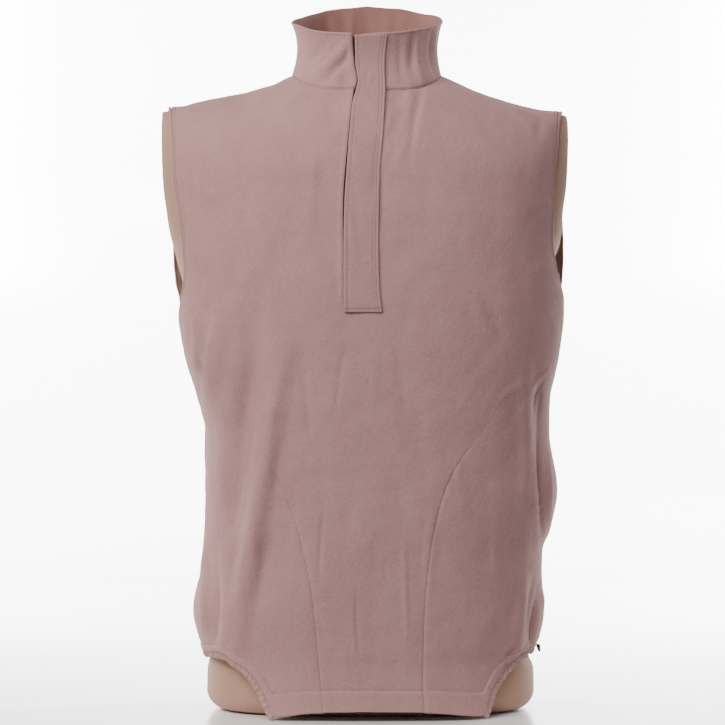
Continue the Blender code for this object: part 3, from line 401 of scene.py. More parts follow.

# %% [markdown]
# ## Creases
# Cloth that hangs from shoulders and is drawn in at the hem buckles into soft ridges and troughs.
# Each one is given as a line with a width, a height and a sideways bow, in millimetres
# on the vest's front or back. They differ in length, depth and spacing, as real ones do. A little
# smooth noise between them keeps the cloth from looking pressed.

# %% Crease tables
CREASES = {FRONT: (
    # x and z of one end, x and z of the other, half width, height, bow
    (-119, 430, -146, 200, 11, -1.9, 4),
    (-124, 380, -138, 250, 6, -1.0, -3),
    (-84, 410, -115, 246, 8, 1.1, 2),
    (-97, 320, -148, 34, 12, 3.4, 2),
    (-76, 250, -99, 105, 10, -0.9, 2),
    (-119, 290, -151, 120, 8, -1.6, 2),
    (-134, 140, -143, 70, 6, -1.2, 0),
    (-158, 440, -180, 352, 6, 1.1, 4),
    (-192, 455, -189, 372, 6, 1.2, -3),
    (-180, 402, -178, 378, 4, 0.9, 0),
    (-172, 430, -184, 330, 7, -1.3, 2),
    (-166, 178, -167, 70, 5, -2.2, -2),
    (-178, 200, -181, 90, 6, 1.2, 2),
    (198, 380, 176, 350, 4, 1.1, 2),
    (196, 372, 184, 336, 3, -1.3, 1),
    (194, 362, 190, 318, 2.2, -1.5, 0),
    (186, 372, 140, 344, 8, 0.6, 3),
    (184, 360, 150, 322, 6, -0.6, 2),
    (190, 335, 196, 168, 2.6, -1.8, 1),
    (183, 330, 189, 190, 4, 1.5, 1),
    (201, 300, 203, 200, 3, 1.3, 0),
    (176, 300, 182, 170, 3, -1.2, 1),
    (187, 150, 176, 76, 4, 1.8, 1),
    (188, 128, 180, 60, 3.6, -2.2, 1),
    (194, 136, 197, 110, 3.5, 1.3, 0),
    (168, 170, 160, 90, 5, -1.1, 1),
    (161, 92, 157, 62, 3.0, -1.8, 0),
    (154, 74, 151, 54, 2.6, -1.6, 0),
    (47, 742, 24, 592, 4.5, -2.3, 1),
    (55, 724, 38, 606, 4.5, 1.3, -2),
    (66, 736, 44, 600, 4, -1.8, 0),
    (-40, 682, -34, 640, 7, -0.9, 2),
    (-26, 676, -30, 652, 4, -0.7, 0),
    (112, 690, 196, 658, 10, 1.2, 4),
    (120, 682, 180, 640, 9, -0.8, -4),
    (192, 656, 186, 630, 9, -1.0, 0),
    (-204, 676, -92, 697, 5, 1.9, 2),
    (-190, 668, -110, 684, 6, -0.9, 3),
    (-215, 640, -196, 520, 5, -0.8, -3),
    (-200, 600, -150, 560, 12, 0.7, 4),
    (-204, 520, -170, 500, 9, 0.8, 3),
    (200, 560, 168, 530, 10, -0.7, 4),
    (204, 500, 176, 478, 8, 0.8, 3),
    (-46, 236, -52, 150, 5, -0.7, 1),
    (72, 240, 66, 120, 10, 0.6, 2),
    (20, 300, -10, 130, 22, 0.8, 6),
    (40, 420, 60, 270, 20, -0.7, 5),
    (-52, 640, -60, 520, 7, 0.7, 3),
    (-70, 440, -60, 300, 6, -0.7, 2),
    (10, 430, 8, 340, 4, 0.6, 1),
    (30, 430, 44, 330, 5, -0.6, 2),
    (-20, 420, -34, 330, 5, -0.6, 2),
    (110, 470, 140, 410, 6, 0.8, 2),
    (130, 450, 160, 395, 5, -0.8, 2),
    (96, 300, 112, 200, 6, 0.7, 2),
    (128, 280, 136, 140, 6, -0.7, 2),
    (40, 200, 44, 80, 5, 0.6, 1),
    (-12, 150, -8, 60, 5, -0.6, 1),
    (-160, 640, -120, 600, 6, -0.6, 2),
    (-150, 560, -110, 470, 6, 0.7, 3),
), BACK: (
    (-122, 430, -150, 190, 11, -1.8, 5),
    (-96, 350, -118, 120, 9, 1.2, -4),
    (126, 420, 152, 160, 10, -1.7, -5),
    (96, 350, 116, 110, 9, 1.1, 4),
    (-182, 470, -186, 360, 7, 1.2, 3),
    (188, 470, 192, 350, 7, 1.2, -3),
    (-200, 520, -160, 500, 8, 0.9, 3),
    (204, 540, 160, 510, 8, 0.9, -3),
    (-60, 650, -130, 560, 16, 0.9, 8),
    (64, 648, 136, 560, 16, 0.9, -8),
    (-20, 520, -60, 330, 20, 0.9, 6),
    (30, 500, 56, 300, 20, -0.8, -6),
    (-164, 190, -166, 80, 6, -1.5, 2),
    (168, 200, 170, 82, 6, -1.5, -2),
    (-178, 330, -184, 190, 6, 1.0, 2),
    (186, 300, 192, 180, 6, -1.2, -2),
)}


def crease_height(rows, x, z):
    """How far a set of creases stands out at places given in metres."""
    x = np.asarray(x) * 1000
    z = np.asarray(z) * 1000
    total = np.zeros(x.shape)
    for x0, z0, x1, z1, half_width, height, bow in rows:
        length = math.hypot(x1 - x0, z1 - z0)
        way_x, way_z = (x1 - x0) / length, (z1 - z0) / length
        along = ((x - x0) * way_x + (z - z0) * way_z) / length
        side = (x - x0) * way_z - (z - z0) * way_x
        inside = (along > 0) & (along < 1)
        swell = np.sin(np.pi * np.clip(along, 0, 1))
        off = (side - bow * swell) / (half_width * (0.55 + 0.45 * swell))
        shape = (1 - np.clip(off**2, 0, 1)) ** 2 * swell**0.8
        total += np.where(inside, height * shape, 0)
    return total / 1000


def soft_noise(points, size, height, seed=0.0):
    """Smooth noise of a given wavelength and height, in metres, at an array of points."""
    flat = points.reshape(-1, 3) / size + seed
    values = np.array([noise.noise(Vector(p)) for p in flat])
    return height * values.reshape(points.shape[:-1])


print("creases:", sum(map(len, CREASES.values())))

# %% [markdown]
# ## A closed wall of cloth
# Cloth is made as two copies of a grid of points, an inner and an outer one, joined round their
# edges by a third line of points that stands out a little. That rounds each edge like a fold.

# %% Making a wall
CLOTH = 0.0014
ROUND_EDGE = 0.45  # how far an edge's middle stands out, as a share of the thickness
made_pieces = []
shells = {}  # the grids of each piece of cloth, which the trims and the sewing follow


def link(name, vertices, faces, material=None):
    """A new smooth mesh object at the origin."""
    mesh = bpy.data.meshes.new(name)
    mesh.from_pydata(np.asarray(vertices).tolist(), [], faces)
    mesh.shade_smooth()
    if material:
        mesh.materials.append(material)
    item = bpy.data.objects.new(name, mesh)
    bpy.context.scene.collection.objects.link(item)
    return item


def make_piece(name, vertices, faces):
    """One finished piece, which gets its material later."""
    item = link(name, vertices, faces)
    made_pieces.append(item)
    print(name, "faces:", len(faces))
    return item


def surface_normals(points, outward):
    """Normals of a grid of points, turned to the side of the given vectors."""
    across = np.gradient(points, axis=1)
    up = np.gradient(points, axis=0)
    normal = unit(np.cross(across, up))
    side = np.sign((normal * outward).sum(-1, keepdims=True))
    return normal * np.where(side == 0, 1, side)


def wall(name, points, normals, thickness, keep=None):
    """A closed, round-edged wall from a grid of inner points and their outward normals."""
    rows, columns = points.shape[:2]
    thickness = np.broadcast_to(np.asarray(thickness, float), (rows, columns))[..., None]
    inner = points.reshape(-1, 3)
    outer = (points + normals * thickness).reshape(-1, 3)
    depth = thickness.reshape(-1)
    count = rows * columns
    index = np.arange(count).reshape(rows, columns)
    kept = np.ones((rows - 1, columns - 1), bool) if keep is None else keep
    cells = np.stack([index[:-1, :-1], index[:-1, 1:], index[1:, 1:], index[1:, :-1]], -1)[kept]
    a, b, c, d = outer[cells[0]]
    if np.cross(b - a, d - a) @ normals.reshape(-1, 3)[cells[0, 0]] < 0:
        cells = cells[:, ::-1]
    edges = np.concatenate([cells[:, [k, (k + 1) % 4]] for k in range(4)])
    code = edges[:, 0] * count + edges[:, 1]
    back = edges[:, 1] * count + edges[:, 0]
    rim = edges[~np.isin(code, back)]
    away = np.zeros((count, 3))
    flat_normals = normals.reshape(-1, 3)
    out = unit(np.cross(outer[rim[:, 1]] - outer[rim[:, 0]], flat_normals[rim[:, 0]]))
    np.add.at(away, rim[:, 0], out)
    np.add.at(away, rim[:, 1], out)
    on_rim = np.unique(rim)
    slot = np.full(count, -1)
    slot[on_rim] = np.arange(len(on_rim)) + 2 * count
    middle = (inner[on_rim] + outer[on_rim]) / 2
    middle = middle + unit(away[on_rim]) * (ROUND_EDGE * depth[on_rim])[:, None]
    vertices = np.concatenate([inner, outer, middle])
    faces = (cells + count).tolist() + cells[:, ::-1].tolist()
    first, second = rim[:, 0], rim[:, 1]
    faces += np.stack([first, second, slot[second], slot[first]], -1).tolist()
    faces += np.stack([slot[first], slot[second], second + count, first + count], -1).tolist()
    used = np.zeros(len(vertices), bool)
    for loop in faces:
        used[loop] = True
    renumber = np.cumsum(used) - 1
    return make_piece(name, vertices[used], [[int(renumber[k]) for k in loop] for loop in faces])


def cloth_shell(name, points, normals, thickness, keep=None, **more):
    """Makes a piece's wall and keeps its grids."""
    item = wall(name, points, normals, thickness, keep)
    outer = points + normals * np.asarray(thickness)[..., None]
    shells[name] = dict(item=item, points=points, normals=normals, outer=outer, **more)
    return item


def line_lengths(points, axis):
    """Distance along a grid's rows or columns from its first line."""
    steps = np.linalg.norm(np.diff(points, axis=axis), axis=-1)
    zero = np.zeros_like(np.take(steps, [0], axis=axis))
    return np.concatenate([zero, np.cumsum(steps, axis=axis)], axis=axis)


def groove(distance, depth, reach):
    """A soft groove beside a seam or a line of sewing."""
    return -depth * np.exp(-((distance / reach) ** 2))


def soft_step(past, ramp):
    """Rises softly from 0 to 1 where a distance passes zero."""
    return 1 / (1 + np.exp(-past / ramp))


# %% [markdown]
# ## The panels
# A panel's grid runs from its hem up to the shoulder and the collar seam. Columns are placed
# closer together beside the edges, where the cloth dips into its seams. The hem is turned up and
# sewn down, so it is two layers thick below its line of stitches.

# %% Laying out a panel
CREASE_GAIN, CREASE_FADE = 1.6, 0.004
NECK_SHARE = 0.34
STEP = 0.0036
EDGE_PLACES = (0.0, 0.0008, 0.0018, 0.0032, 0.0046, 0.0062)
SEAM_GAP = 0.0003
HALF_PANEL, ROLL_PANEL = 0.2, 0.16  # widths that the columns and the top rows are spaced for
HEM_EXTRA, HEM_EDGE, HEM_RAMP = 0.0013, 0.0008, 0.0005  # the turned-up layer and its end
HEM_PULL, HEM_PULL_REACH = 0.0014, 0.0015  # the groove that the hem's stitches pull
UNEVENNESS = (
    # stretch along the height, wavelength, height and seed of the noise between the creases
    (1.0, 0.045, 0.0011, 0.0), (1.0, 0.017, 0.0005, 7.0), (0.6, 0.009, 0.00022, 3.0),
)
SLIT = table(
    # how far the left front stands away from the flap's free edge, which shows the zip's tape,
    # painted dark as shade
    "height width",
    (0.4425, 0.0), (0.500, 0.0002), (0.540, 0.0010), (0.570, 0.0015), (0.640, 0.0018),
    (0.662, 0.0022), (0.676, 0.0034), (0.690, 0.0028), (0.703, 0.0008), (0.716, 0.0010),
    (0.728, 0.0024), (0.745, 0.0038),
)


def shares_between(width, near_low=True, near_high=True):
    """Shares from 0 to 1 over a width, closer together at the edges that are sewn."""
    low = list(EDGE_PLACES) if near_low else [0.0]
    high = [width - place for place in reversed(EDGE_PLACES)] if near_high else [width]
    count = max(int((high[0] - low[-1]) / STEP), 2)
    middle = np.linspace(low[-1], high[0], count + 1)[1:-1]
    return np.concatenate([low, middle, high]) / width


def half_columns(shares, inner, outer):
    """Angles from an inner edge to an outer one, at each level."""
    return inner[..., None] + shares * (outer - inner)[..., None]


LOWER_LEVELS = np.unique(np.round(np.concatenate([
    EDGE_PLACES,
    np.linspace(0.0065, 0.0215, 5),
    HEM_TURN_UP + np.array([-0.0022, -0.0011, 0.0, 0.0011, 0.0022]),
    np.linspace(0.031, HEM_BLEND, 16),
]), 6))
UPPER_LEVELS = np.linspace(HEM_BLEND, ROLL, int((ROLL - HEM_BLEND) / STEP))[1:]
ROLL_SHARES = shares_between(ROLL_PANEL, False, True)[1:]


def panel_grid(face, low_edge, high_edge):
    """Angles and levels of a whole panel, and which column is the first of the slot."""
    left_shares = shares_between(HALF_PANEL)
    right_shares = left_shares[1:] if face == BACK else left_shares

    def row_angles(level):
        if face == FRONT:
            height = plain_drape(FRONT, 0, level)[..., 2]
            left = angle_at(FRONT, slot_left(height) - read(SLIT, "width", height), level)
            right = angle_at(FRONT, slot_left(height) + ZIP_SLOT, level)
        else:
            left = right = np.zeros(np.shape(level))
        lefts = half_columns(left_shares, left, low_edge(level))[..., ::-1]
        return np.concatenate([lefts, half_columns(right_shares, right, high_edge(level))], -1)

    base = row_angles(np.array([HEM_BASE]))[0]
    start = hem_level(face, base)
    angles, levels = [], []
    for lift in LOWER_LEVELS:
        level = start + lift * (1 - start / HEM_BLEND)
        angles.append(np.diagonal(row_angles(level)))
        levels.append(level)
    plain = row_angles(UPPER_LEVELS)
    angles += list(plain)
    levels += [np.full(plain.shape[1], level) for level in UPPER_LEVELS]
    turns = {}
    if face == FRONT:
        slot = slot_left(NECK_SEAM_HEIGHT)
        slit = float(read(SLIT, "width", NECK_SEAM_HEIGHT))
        turns[-1], turns[1] = neck_turn_at(np.array([slot - slit, slot + ZIP_SLOT]))
    else:
        turns[-1] = turns[1] = 180.0
    tops = []
    for side, shares, edge in ((-1, left_shares, low_edge), (1, right_shares, high_edge)):
        inner = np.clip(shares / NECK_SHARE, 0, 1)
        neck_turn = side * 90.0 if face == FRONT else side * 90.0 + (0 if side > 0 else 360)
        turn = turns[side] + inner * (neck_turn - turns[side])
        _, angle, level = neck_place(turn)
        outer = np.clip((shares - NECK_SHARE) / (1 - NECK_SHARE), 0, 1)
        last = edge(np.array([RIDGE]))[0]
        at_point = neck_place(np.array([side * 90.0]))[1][0]
        angle = np.where(shares > NECK_SHARE, at_point + outer * (last - at_point), angle)
        level = np.where(shares >= NECK_SHARE, RIDGE, level)
        rows = np.stack([angle, level], -1)
        tops.append(rows[::-1] if side < 0 else rows)
    tops = np.concatenate(tops)
    begin = plain[-1]
    for share in ROLL_SHARES:
        angles.append(begin + (tops[:, 0] - begin) * share)
        levels.append(ROLL + (tops[:, 1] - ROLL) * share)
    return np.array(angles), np.array(levels), len(left_shares) - 1


def drawn_in(points, top):
    """Draws a piece's sewn edges in by half of the seam gap."""
    points = points.copy()
    half = SEAM_GAP / 2
    points[:, 0] += unit(points[:, 1] - points[:, 0]) * half
    points[:, -1] += unit(points[:, -2] - points[:, -1]) * half
    if top:
        points[-1] += unit(points[-2] - points[-1]) * half
    return points


def creased(face, angle, level, top=False):
    """Points of a panel with its creases and a little noise, and their outward normals."""
    plain = plain_drape(face, angle, level)
    normal = plain_normal(face, angle, level)
    rise = fold_height(face, plain[..., 0], plain[..., 2])
    creases = CREASE_GAIN * crease_height(CREASES[face], plain[..., 0], plain[..., 2])
    if top:  # the seam at the neck and shoulders holds the creases flat
        up = line_lengths(plain, 0)
        creases = creases * (1 - np.exp(-(((up[-1:] - up) / CREASE_FADE) ** 2)))
    rise = rise + creases
    for stretch, size, height, seed in UNEVENNESS:
        rise = rise + soft_noise(plain * (1, 1, stretch), size, height, seed)
    return plain + rise[..., None] * normal, normal


def hem_shape(lift):
    """Thickness of the cloth above and below the hem's stitches, and the groove they pull."""
    doubled = soft_step(HEM_TURN_UP + HEM_EDGE - np.minimum(lift, HEM_BLEND), HEM_RAMP)
    return CLOTH + HEM_EXTRA * doubled, groove(lift - HEM_TURN_UP, HEM_PULL, HEM_PULL_REACH)


print("columns over half a panel:", len(shares_between(HALF_PANEL)), "rows:", len(UPPER_LEVELS))

# %% [markdown]
# The front is one piece from hem to shoulders, with an opening cut for the half zip. The back is
# a whole panel. Both dip at their sewn edges. Beside the opening the cloth is turned under and
# makes a soft lip. The gathered side hems send small ripples up into the panels.

# %% The front and the back
SEAM_DIP, SEAM_REACH, NECK_DIP = 0.0008, 0.0016, 0.0012
LIP_HEIGHT, LIP_REACH = 0.0011, 0.0024
GATHER_STEP, GATHER_HEIGHT, GATHER_REACH = 0.0068, 0.0014, 0.0095
GATHER_START, GATHER_SPREAD = 4, 8  # degrees past the hem's corner, and to their full height
# The pale tan on the wrong side beside each armhole is painted light, lifting the shade in the
# hollow.
PALE_TAN_WIDTH = 0.045  # the wrong side that shows through an armhole
ARMHOLE_ROWS, ARMHOLE_START = (0.0012, 0.0046), 0.004
ROW_DIP, ROW_REACH = 0.0005, 0.0011
SEAM_FADE, SEAM_FADE_SPAN, SEAM_FADED = 0.255, 0.055, 0.9
LIP_START, LIP_RAMP = 0.004, 0.002  # how far above the zip's end the opening's lips rise
sewing = {}


def sew(name, line):
    """Keeps a line of sewing for a piece. The stitches are made once all the cloth is."""
    sewing.setdefault(name, []).append(np.asarray(line))


def gathers(along, lift):
    """Ripples that a gathered hem sends up into the cloth, uneven along the hem."""
    drift = np.array([noise.noise(Vector((a * 60, 3.1, 0))) for a in along])
    size = np.array([0.6 + 0.5 * noise.noise(Vector((a * 35, 9.4, 0))) for a in along])
    wave = np.sin(2 * np.pi * (along / GATHER_STEP + drift)) * size
    return GATHER_HEIGHT * wave[None, :] * np.exp(-(lift / GATHER_REACH) ** 1.5)


def seam_strength(level):
    """The curved seams are pressed flat towards their upper ends, where they hardly show."""
    fading = np.clip((level - SEAM_FADE) / SEAM_FADE_SPAN, 0, 1)
    return 1 - SEAM_FADED * fading * (level < SEAM_APEX + 0.002)


def finish_panel(name, points, normals, level, gathered=None, keep=None, top=True):
    """Adds the seam dips, the turned hem and the gathers, and makes the wall."""
    left = line_lengths(points, 1)
    right = left[:, -1:] - left
    up = line_lengths(points, 0)
    rise = groove(left, SEAM_DIP, SEAM_REACH) + groove(right, SEAM_DIP, SEAM_REACH)
    rise = rise * seam_strength(level)
    if top:
        for side, distance in ((-1, left), (1, right)):
            beside = level >= SIDE_SEAM_TOP[side] + ARMHOLE_START
            rise = rise + groove(distance - ARMHOLE_ROWS[1], ROW_DIP, ROW_REACH) * beside
        rise = rise + groove(up[-1:] - up, NECK_DIP, SEAM_REACH)
    lifts = np.full(len(points), 1.0)  # the rows above the hem are far from its stitches
    lifts[:len(LOWER_LEVELS)] = LOWER_LEVELS
    thickness, pulled = hem_shape(lifts)
    rise = rise + pulled[:, None]
    if gathered is not None:
        rise = rise + gathers(left[0], up) * gathered
    points = drawn_in(points + rise[..., None] * normals, top)
    normals = surface_normals(points, normals)
    item = cloth_shell(name, points, normals, thickness[:, None], keep)
    # The wrong side beside each armhole takes the second material, a pale tan painted lighter than
    # the form's cover to lift the shade in the armhole hollow.
    if top:
        near_left = (left < PALE_TAN_WIDTH) & (level > SIDE_SEAM_TOP[-1])
        near_right = (right < PALE_TAN_WIDTH) & (level > SIDE_SEAM_TOP[1])
        pale_tan = (near_left | near_right)[:-1, :-1]
        pale_tan = pale_tan.ravel() if keep is None else pale_tan[keep]
        for face, tan in zip(item.data.polygons[len(pale_tan):2 * len(pale_tan)], pale_tan):
            face.material_index = int(tan)


def whole_panel(name, face, low_edge, high_edge):
    """The front or the back."""
    angle, level, slot = panel_grid(face, low_edge, high_edge)
    points, normals = creased(face, angle, level, top=True)
    keep, gathered = None, None
    if face == FRONT:
        keep = np.ones((angle.shape[0] - 1, angle.shape[1] - 1), bool)
        keep[:, slot] = level[:-1, slot] < ZIP_END
        across = line_lengths(points, 1)
        open_rows = soft_step(level - (ZIP_END + LIP_START), LIP_RAMP)
        for column, way in ((slot, -1), (slot + 1, 1)):
            off = (across - across[:, column:column + 1]) * way
            lip = -groove(off - LIP_REACH, LIP_HEIGHT, LIP_REACH)
            points = points + (lip * open_rows * (off > -0.002))[..., None] * normals
    else:
        gathered = np.clip((np.abs(angle[0]) - BACK_CORNER) / GATHER_SPREAD, 0, 1)[None, :]
    finish_panel(name, points, normals, level, gathered, keep)
    shells[name].update(angle=angle, level=level)


whole_panel("front_cloth", FRONT, front_edge(-1), front_edge(1))
whole_panel("back_cloth", BACK, back_edge(-1), back_edge(1))

# %% [markdown]
# ## The lower side panels
# Below the waist the front has a narrow shaped panel on each side. It starts at the front hem,
# follows the curved seam outwards and ends in a point at the side seam. Its hem is scooped up
# at the side, where it is gathered on elastic.

# %% The side panels
APEX_MARGIN, SIDE_ROWS = 0.0015, 86
SIDE_PANEL = 0.14  # the width that the columns are spaced for
CORNER_COLUMNS = np.array([-1.2, 0.0, 0.8, 1.6])  # degrees from the hem's corner
CORNER_CLEAR = 0.008


def side_panel(name, side):
    """A lower side panel, from the curved seam to the side seam."""
    corner = HEM_CORNER[side]
    seam = front_seam_angle(side, np.array([HEM_BASE]))[0]
    shares = shares_between(SIDE_PANEL)
    near_corner = (corner + CORNER_COLUMNS - seam) / (90 - seam)
    clear = (shares < near_corner[0] - CORNER_CLEAR) | (shares > near_corner[-1] + CORNER_CLEAR)
    shares = np.sort(np.append(shares[clear], near_corner))
    base = seam + (90 - seam) * shares
    start = hem_level(FRONT, side * base)
    lower = LOWER_LEVELS[:, None] * (1 - start / HEM_BLEND) + start
    upper = np.linspace(HEM_BLEND, SEAM_APEX - APEX_MARGIN, SIDE_ROWS)[1:]
    level = np.concatenate([lower, np.repeat(upper[:, None], len(shares), 1)])
    low = front_seam_angle(side, level.ravel()).reshape(level.shape)
    angle = side * (low + (90 - low) * shares)
    if side < 0:
        angle, level, base = angle[:, ::-1], level[:, ::-1], base[::-1]
    points, normals = creased(FRONT, angle, level)
    gathered = np.clip((base - corner - GATHER_START) / GATHER_SPREAD, 0, 1)[None, :]
    finish_panel(name, points, normals, level, gathered, top=False)
    shells[name].update(base=base)


for side, word in WEARER_SIDES:
    side_panel(f"side_front_{word}_cloth", side)

# %% [markdown]
# ## The collar
# The stand collar is one band, sewn to the neck edge and open at the front over the zip. Its
# height grows from the front to the back. The cloth between its two edges falls in a little and
# has soft upright folds, with fine puckers where it is sewn to the panels.

# %% The collar
COLLAR_CLOTH = 0.0021
COLLAR_GAIN = 1.45
COLLAR_BEND = 0.075  # radius of the collar's front curve
COLLAR_FOLDS = (
    # turn at the seam, turn at the rim, first and last share of the height, width, height
    (-47, -9, 0.05, 1.00, 5.5, 2.6), (-36, -1, 0.02, 0.95, 4.5, -2.3),
    (-62, -26, 0.10, 1.00, 6.0, -1.0), (-26, -14, 0.00, 0.45, 3.5, 1.1),
    (-17, -20, 0.00, 0.30, 3.0, -1.0), (-72, -60, 0.10, 0.90, 7.0, 1.1),
    (27, 25, 0.00, 1.00, 3.5, -1.2), (35, 36, 0.30, 1.00, 3.0, -1.8),
    (42, 40, 0.00, 1.00, 4.0, 1.8), (57, 55, 0.00, 0.95, 5.0, -1.9),
    (68, 62, 0.10, 1.00, 6.0, 1.5), (80, 80, 0.00, 0.90, 6.0, -1.0),
    (100, 96, 0.05, 0.90, 8.0, 1.3), (125, 130, 0.05, 1.00, 8.0, -1.6),
    (146, 143, 0.10, 1.00, 6.0, 1.5), (160, 163, 0.05, 1.00, 6.0, -1.5),
    (178, 181, 0.00, 1.00, 8.0, 1.5), (196, 192, 0.05, 1.00, 5.0, -1.4),
    (212, 214, 0.10, 1.00, 7.0, 1.3), (234, 238, 0.10, 1.00, 8.0, -1.5),
    (262, 258, 0.00, 0.90, 8.0, 1.1),
)
COLLAR_WIDTH = 0.52  # the length round the neck that the columns are spaced for
COLLAR_ROWS = np.concatenate([[0.010, 0.03, 0.06, 0.1], np.linspace(0.14, 0.9, 15),
                              [0.93, 0.955, 0.975, 0.99, 1.0]])
END_STIFF, END_LIP = 0.012, 0.002  # the stretch beside the opening that stays flat, and its lip
RIM_BEAD, RIM_BEAD_REACH = 0.0006, 0.002
PUCKER_HEIGHT, PUCKER_REACH = 0.0010, 0.15
FEET_TURNS = np.linspace(-180, 180, 1441)
_ahead, _angle, _level = neck_place(FEET_TURNS)
FEET = np.where(_ahead[:, None], drape(FRONT, _angle, _level), drape(BACK, _angle, _level))


def collar_place(turn, share):
    """The collar's inner surface, from its seam (0) to its rim (1)."""
    turn, share = np.broadcast_arrays(np.asarray(turn, float), np.asarray(share, float))
    wrapped = (turn + 180) % 360 - 180
    foot = np.stack([np.interp(wrapped, FEET_TURNS, FEET[:, k]) for k in range(3)], -1)
    point = foot + (rim_point(wrapped) - foot) * share[..., None]
    inward = unit(point * (1, 1, 0))
    return point - inward * (COLLAR_PINCH * np.sin(np.pi * share))[..., None]


def collar_normal(turn, share):
    share = np.asarray(share, float)
    across = collar_place(turn + 0.5, share) - collar_place(turn - 0.5, share)
    low, high = np.clip(share - 0.02, 0, 1), np.clip(share + 0.02, 0, 1)
    return unit(np.cross(across, collar_place(turn, high) - collar_place(turn, low)))


def collar_folds(turn, share):
    total = np.zeros(np.broadcast(turn, share).shape)
    for low_turn, high_turn, first, last, width, height in COLLAR_FOLDS:
        middle = low_turn + (high_turn - low_turn) * share
        off = ((turn - middle + 180) % 360 - 180) / width
        along = np.clip((share - first) / (last - first), 0, 1)
        total += height / 1000 * (1 - np.clip(off**2, 0, 1)) ** 2 * np.sin(np.pi * along) ** 0.7
    return total * COLLAR_GAIN


def make_collar():
    """The collar's band. Its left end follows the slit at each height."""
    slot = slot_left(NECK_SEAM_HEIGHT)
    left_slot, right_slot = neck_turn_at(np.array([slot, slot + ZIP_SLOT]))
    turns = right_slot + (360 + left_slot - right_slot) * shares_between(COLLAR_WIDTH)
    turn, share = np.meshgrid(turns, COLLAR_ROWS)
    end = np.full(len(COLLAR_ROWS), left_slot)
    for _ in range(6):
        place = collar_place(end, COLLAR_ROWS)
        wanted = slot_left(place[:, 2]) - read(SLIT, "width", place[:, 2])
        end = end + np.degrees((wanted - place[:, 0]) / COLLAR_BEND)
    part = (turn - right_slot) / (turns[-1] - right_slot)
    turn = turn + (end - left_slot)[:, None] * part**4
    points = collar_place(turn, share)
    normals = collar_normal(turn, share)
    rise = collar_folds(turn, share) + soft_noise(points, 0.03, 0.0008, 2.0)
    puckers = soft_noise(points * (1, 1, 0.25), 0.006, PUCKER_HEIGHT, 5.0)
    rise = rise + puckers * np.exp(-share / PUCKER_REACH)
    ends = np.minimum(line_lengths(points, 1), line_lengths(points[:, ::-1], 1)[:, ::-1])
    rise = rise * np.clip(ends / END_STIFF, 0.15, 1) - groove(ends - END_LIP, LIP_HEIGHT, END_LIP)
    up = line_lengths(points, 0)
    rise = rise + groove(up, NECK_DIP, SEAM_REACH) - groove(up[-1:] - up, RIM_BEAD, RIM_BEAD_REACH)
    points = points + rise[..., None] * normals
    normals = surface_normals(points, normals)
    item = cloth_shell("collar_cloth", points, normals, COLLAR_CLOTH)
    # The collar's inner faces take the second material, painted darker as shade inside the collar.
    cells = (points.shape[0] - 1) * (points.shape[1] - 1)
    for face in item.data.polygons[cells:2 * cells]:
        face.material_index = 1


make_collar()
print("collar's height at the front:",
      round(float(rim_point(0.0)[2] - collar_place(0.0, 0.0)[2]), 4))

# %% [markdown]
# ## The storm flap and the zip
# A storm flap lies over the half zip. It is sewn down along one edge and across its lower end,
# and its free edge stands off the cloth, which leaves the dark slit beside it. The closed zip
# sits behind the opening: a tape, painted dark as shade in the slit, and two rows of small teeth
# down its middle.

# %% The flap and the zip tape
FLAP_FOOT, FLAP_TOP = 0.4425, 0.7475
FLAP_CLOTH, FLAP_LIFT, FLAP_RAMP = 0.0017, 0.0022, 0.050
FLAP_WIDTH = 0.036
FREE_ROW, SEWN_ROWS, FOOT_ROWS = 0.0033, (0.0030, 0.0066), (0.0018, 0.0046)
FLAP_GROOVES = (0.0004, 0.0012), (0.0003, 0.0012)  # depth and reach beside the sewn edge's rows
THICK_UNDER_FLAP, THICK_RAMP = 0.655, 0.004
LAID_ON = 0.0007
TRIM_CLOTH = 0.0012
ZIP_HALF_WIDTH, ZIP_BEHIND, ZIP_BEND = 0.012, 0.0009, 0.020
ZIP_FOOT_MARGIN, ZIP_TOP_MARGIN, ZIP_ROWS = 0.001, 0.0025, 70


def front_line(x, height):
    """The inner line of the closed front at some places, panel below and collar above."""
    x, height = np.broadcast_arrays(np.asarray(x, float), np.asarray(height, float))
    turn = neck_turn_at(x)
    foot = collar_place(turn, 0.0)[..., 2]
    share = np.clip((height - foot) / (rim_point(turn)[..., 2] - foot), 0.04, 1)
    above = collar_place(turn, share)
    above_normal = collar_normal(turn, share)
    lean = np.clip((height - ROLL) / (SHOULDERS["left_front"][0] - ROLL), 0, 1)
    level = np.where(height > ROLL, ROLL + ROLL_SPAN * np.degrees(np.arcsin(lean)) / 90, height)
    angle = angle_at(FRONT, x, level)
    below = drape(FRONT, angle, level)
    below_normal = normal_of(lambda a, v: drape(FRONT, a, v), angle, level)
    on_collar = (height > NECK_SEAM_HEIGHT)[..., None]
    return np.where(on_collar, above, below), np.where(on_collar, above_normal, below_normal)


def smoothed(grid, rounds=2):
    """Evens out a grid of points along its length, its ends kept."""
    for _ in range(rounds):
        grid = grid.copy()
        grid[1:-1] = (grid[:-2] + 2 * grid[1:-1] + grid[2:]) / 4
    return grid


FLAP_CREASES = (
    # x and z of one end, x and z of the other, half width, height, bow, as on the panels
    (1, 708, -1, 694, 2.6, -1.0, 0), (4, 706, 3, 690, 2.4, 0.7, 0),
    (-18, 640, -8, 600, 5, 0.7, 1), (8, 600, 2, 520, 6, -0.5, 2),
    (-20, 560, -12, 480, 5, 0.6, -1), (-8, 690, 12, 682, 3, -0.7, 0),
)


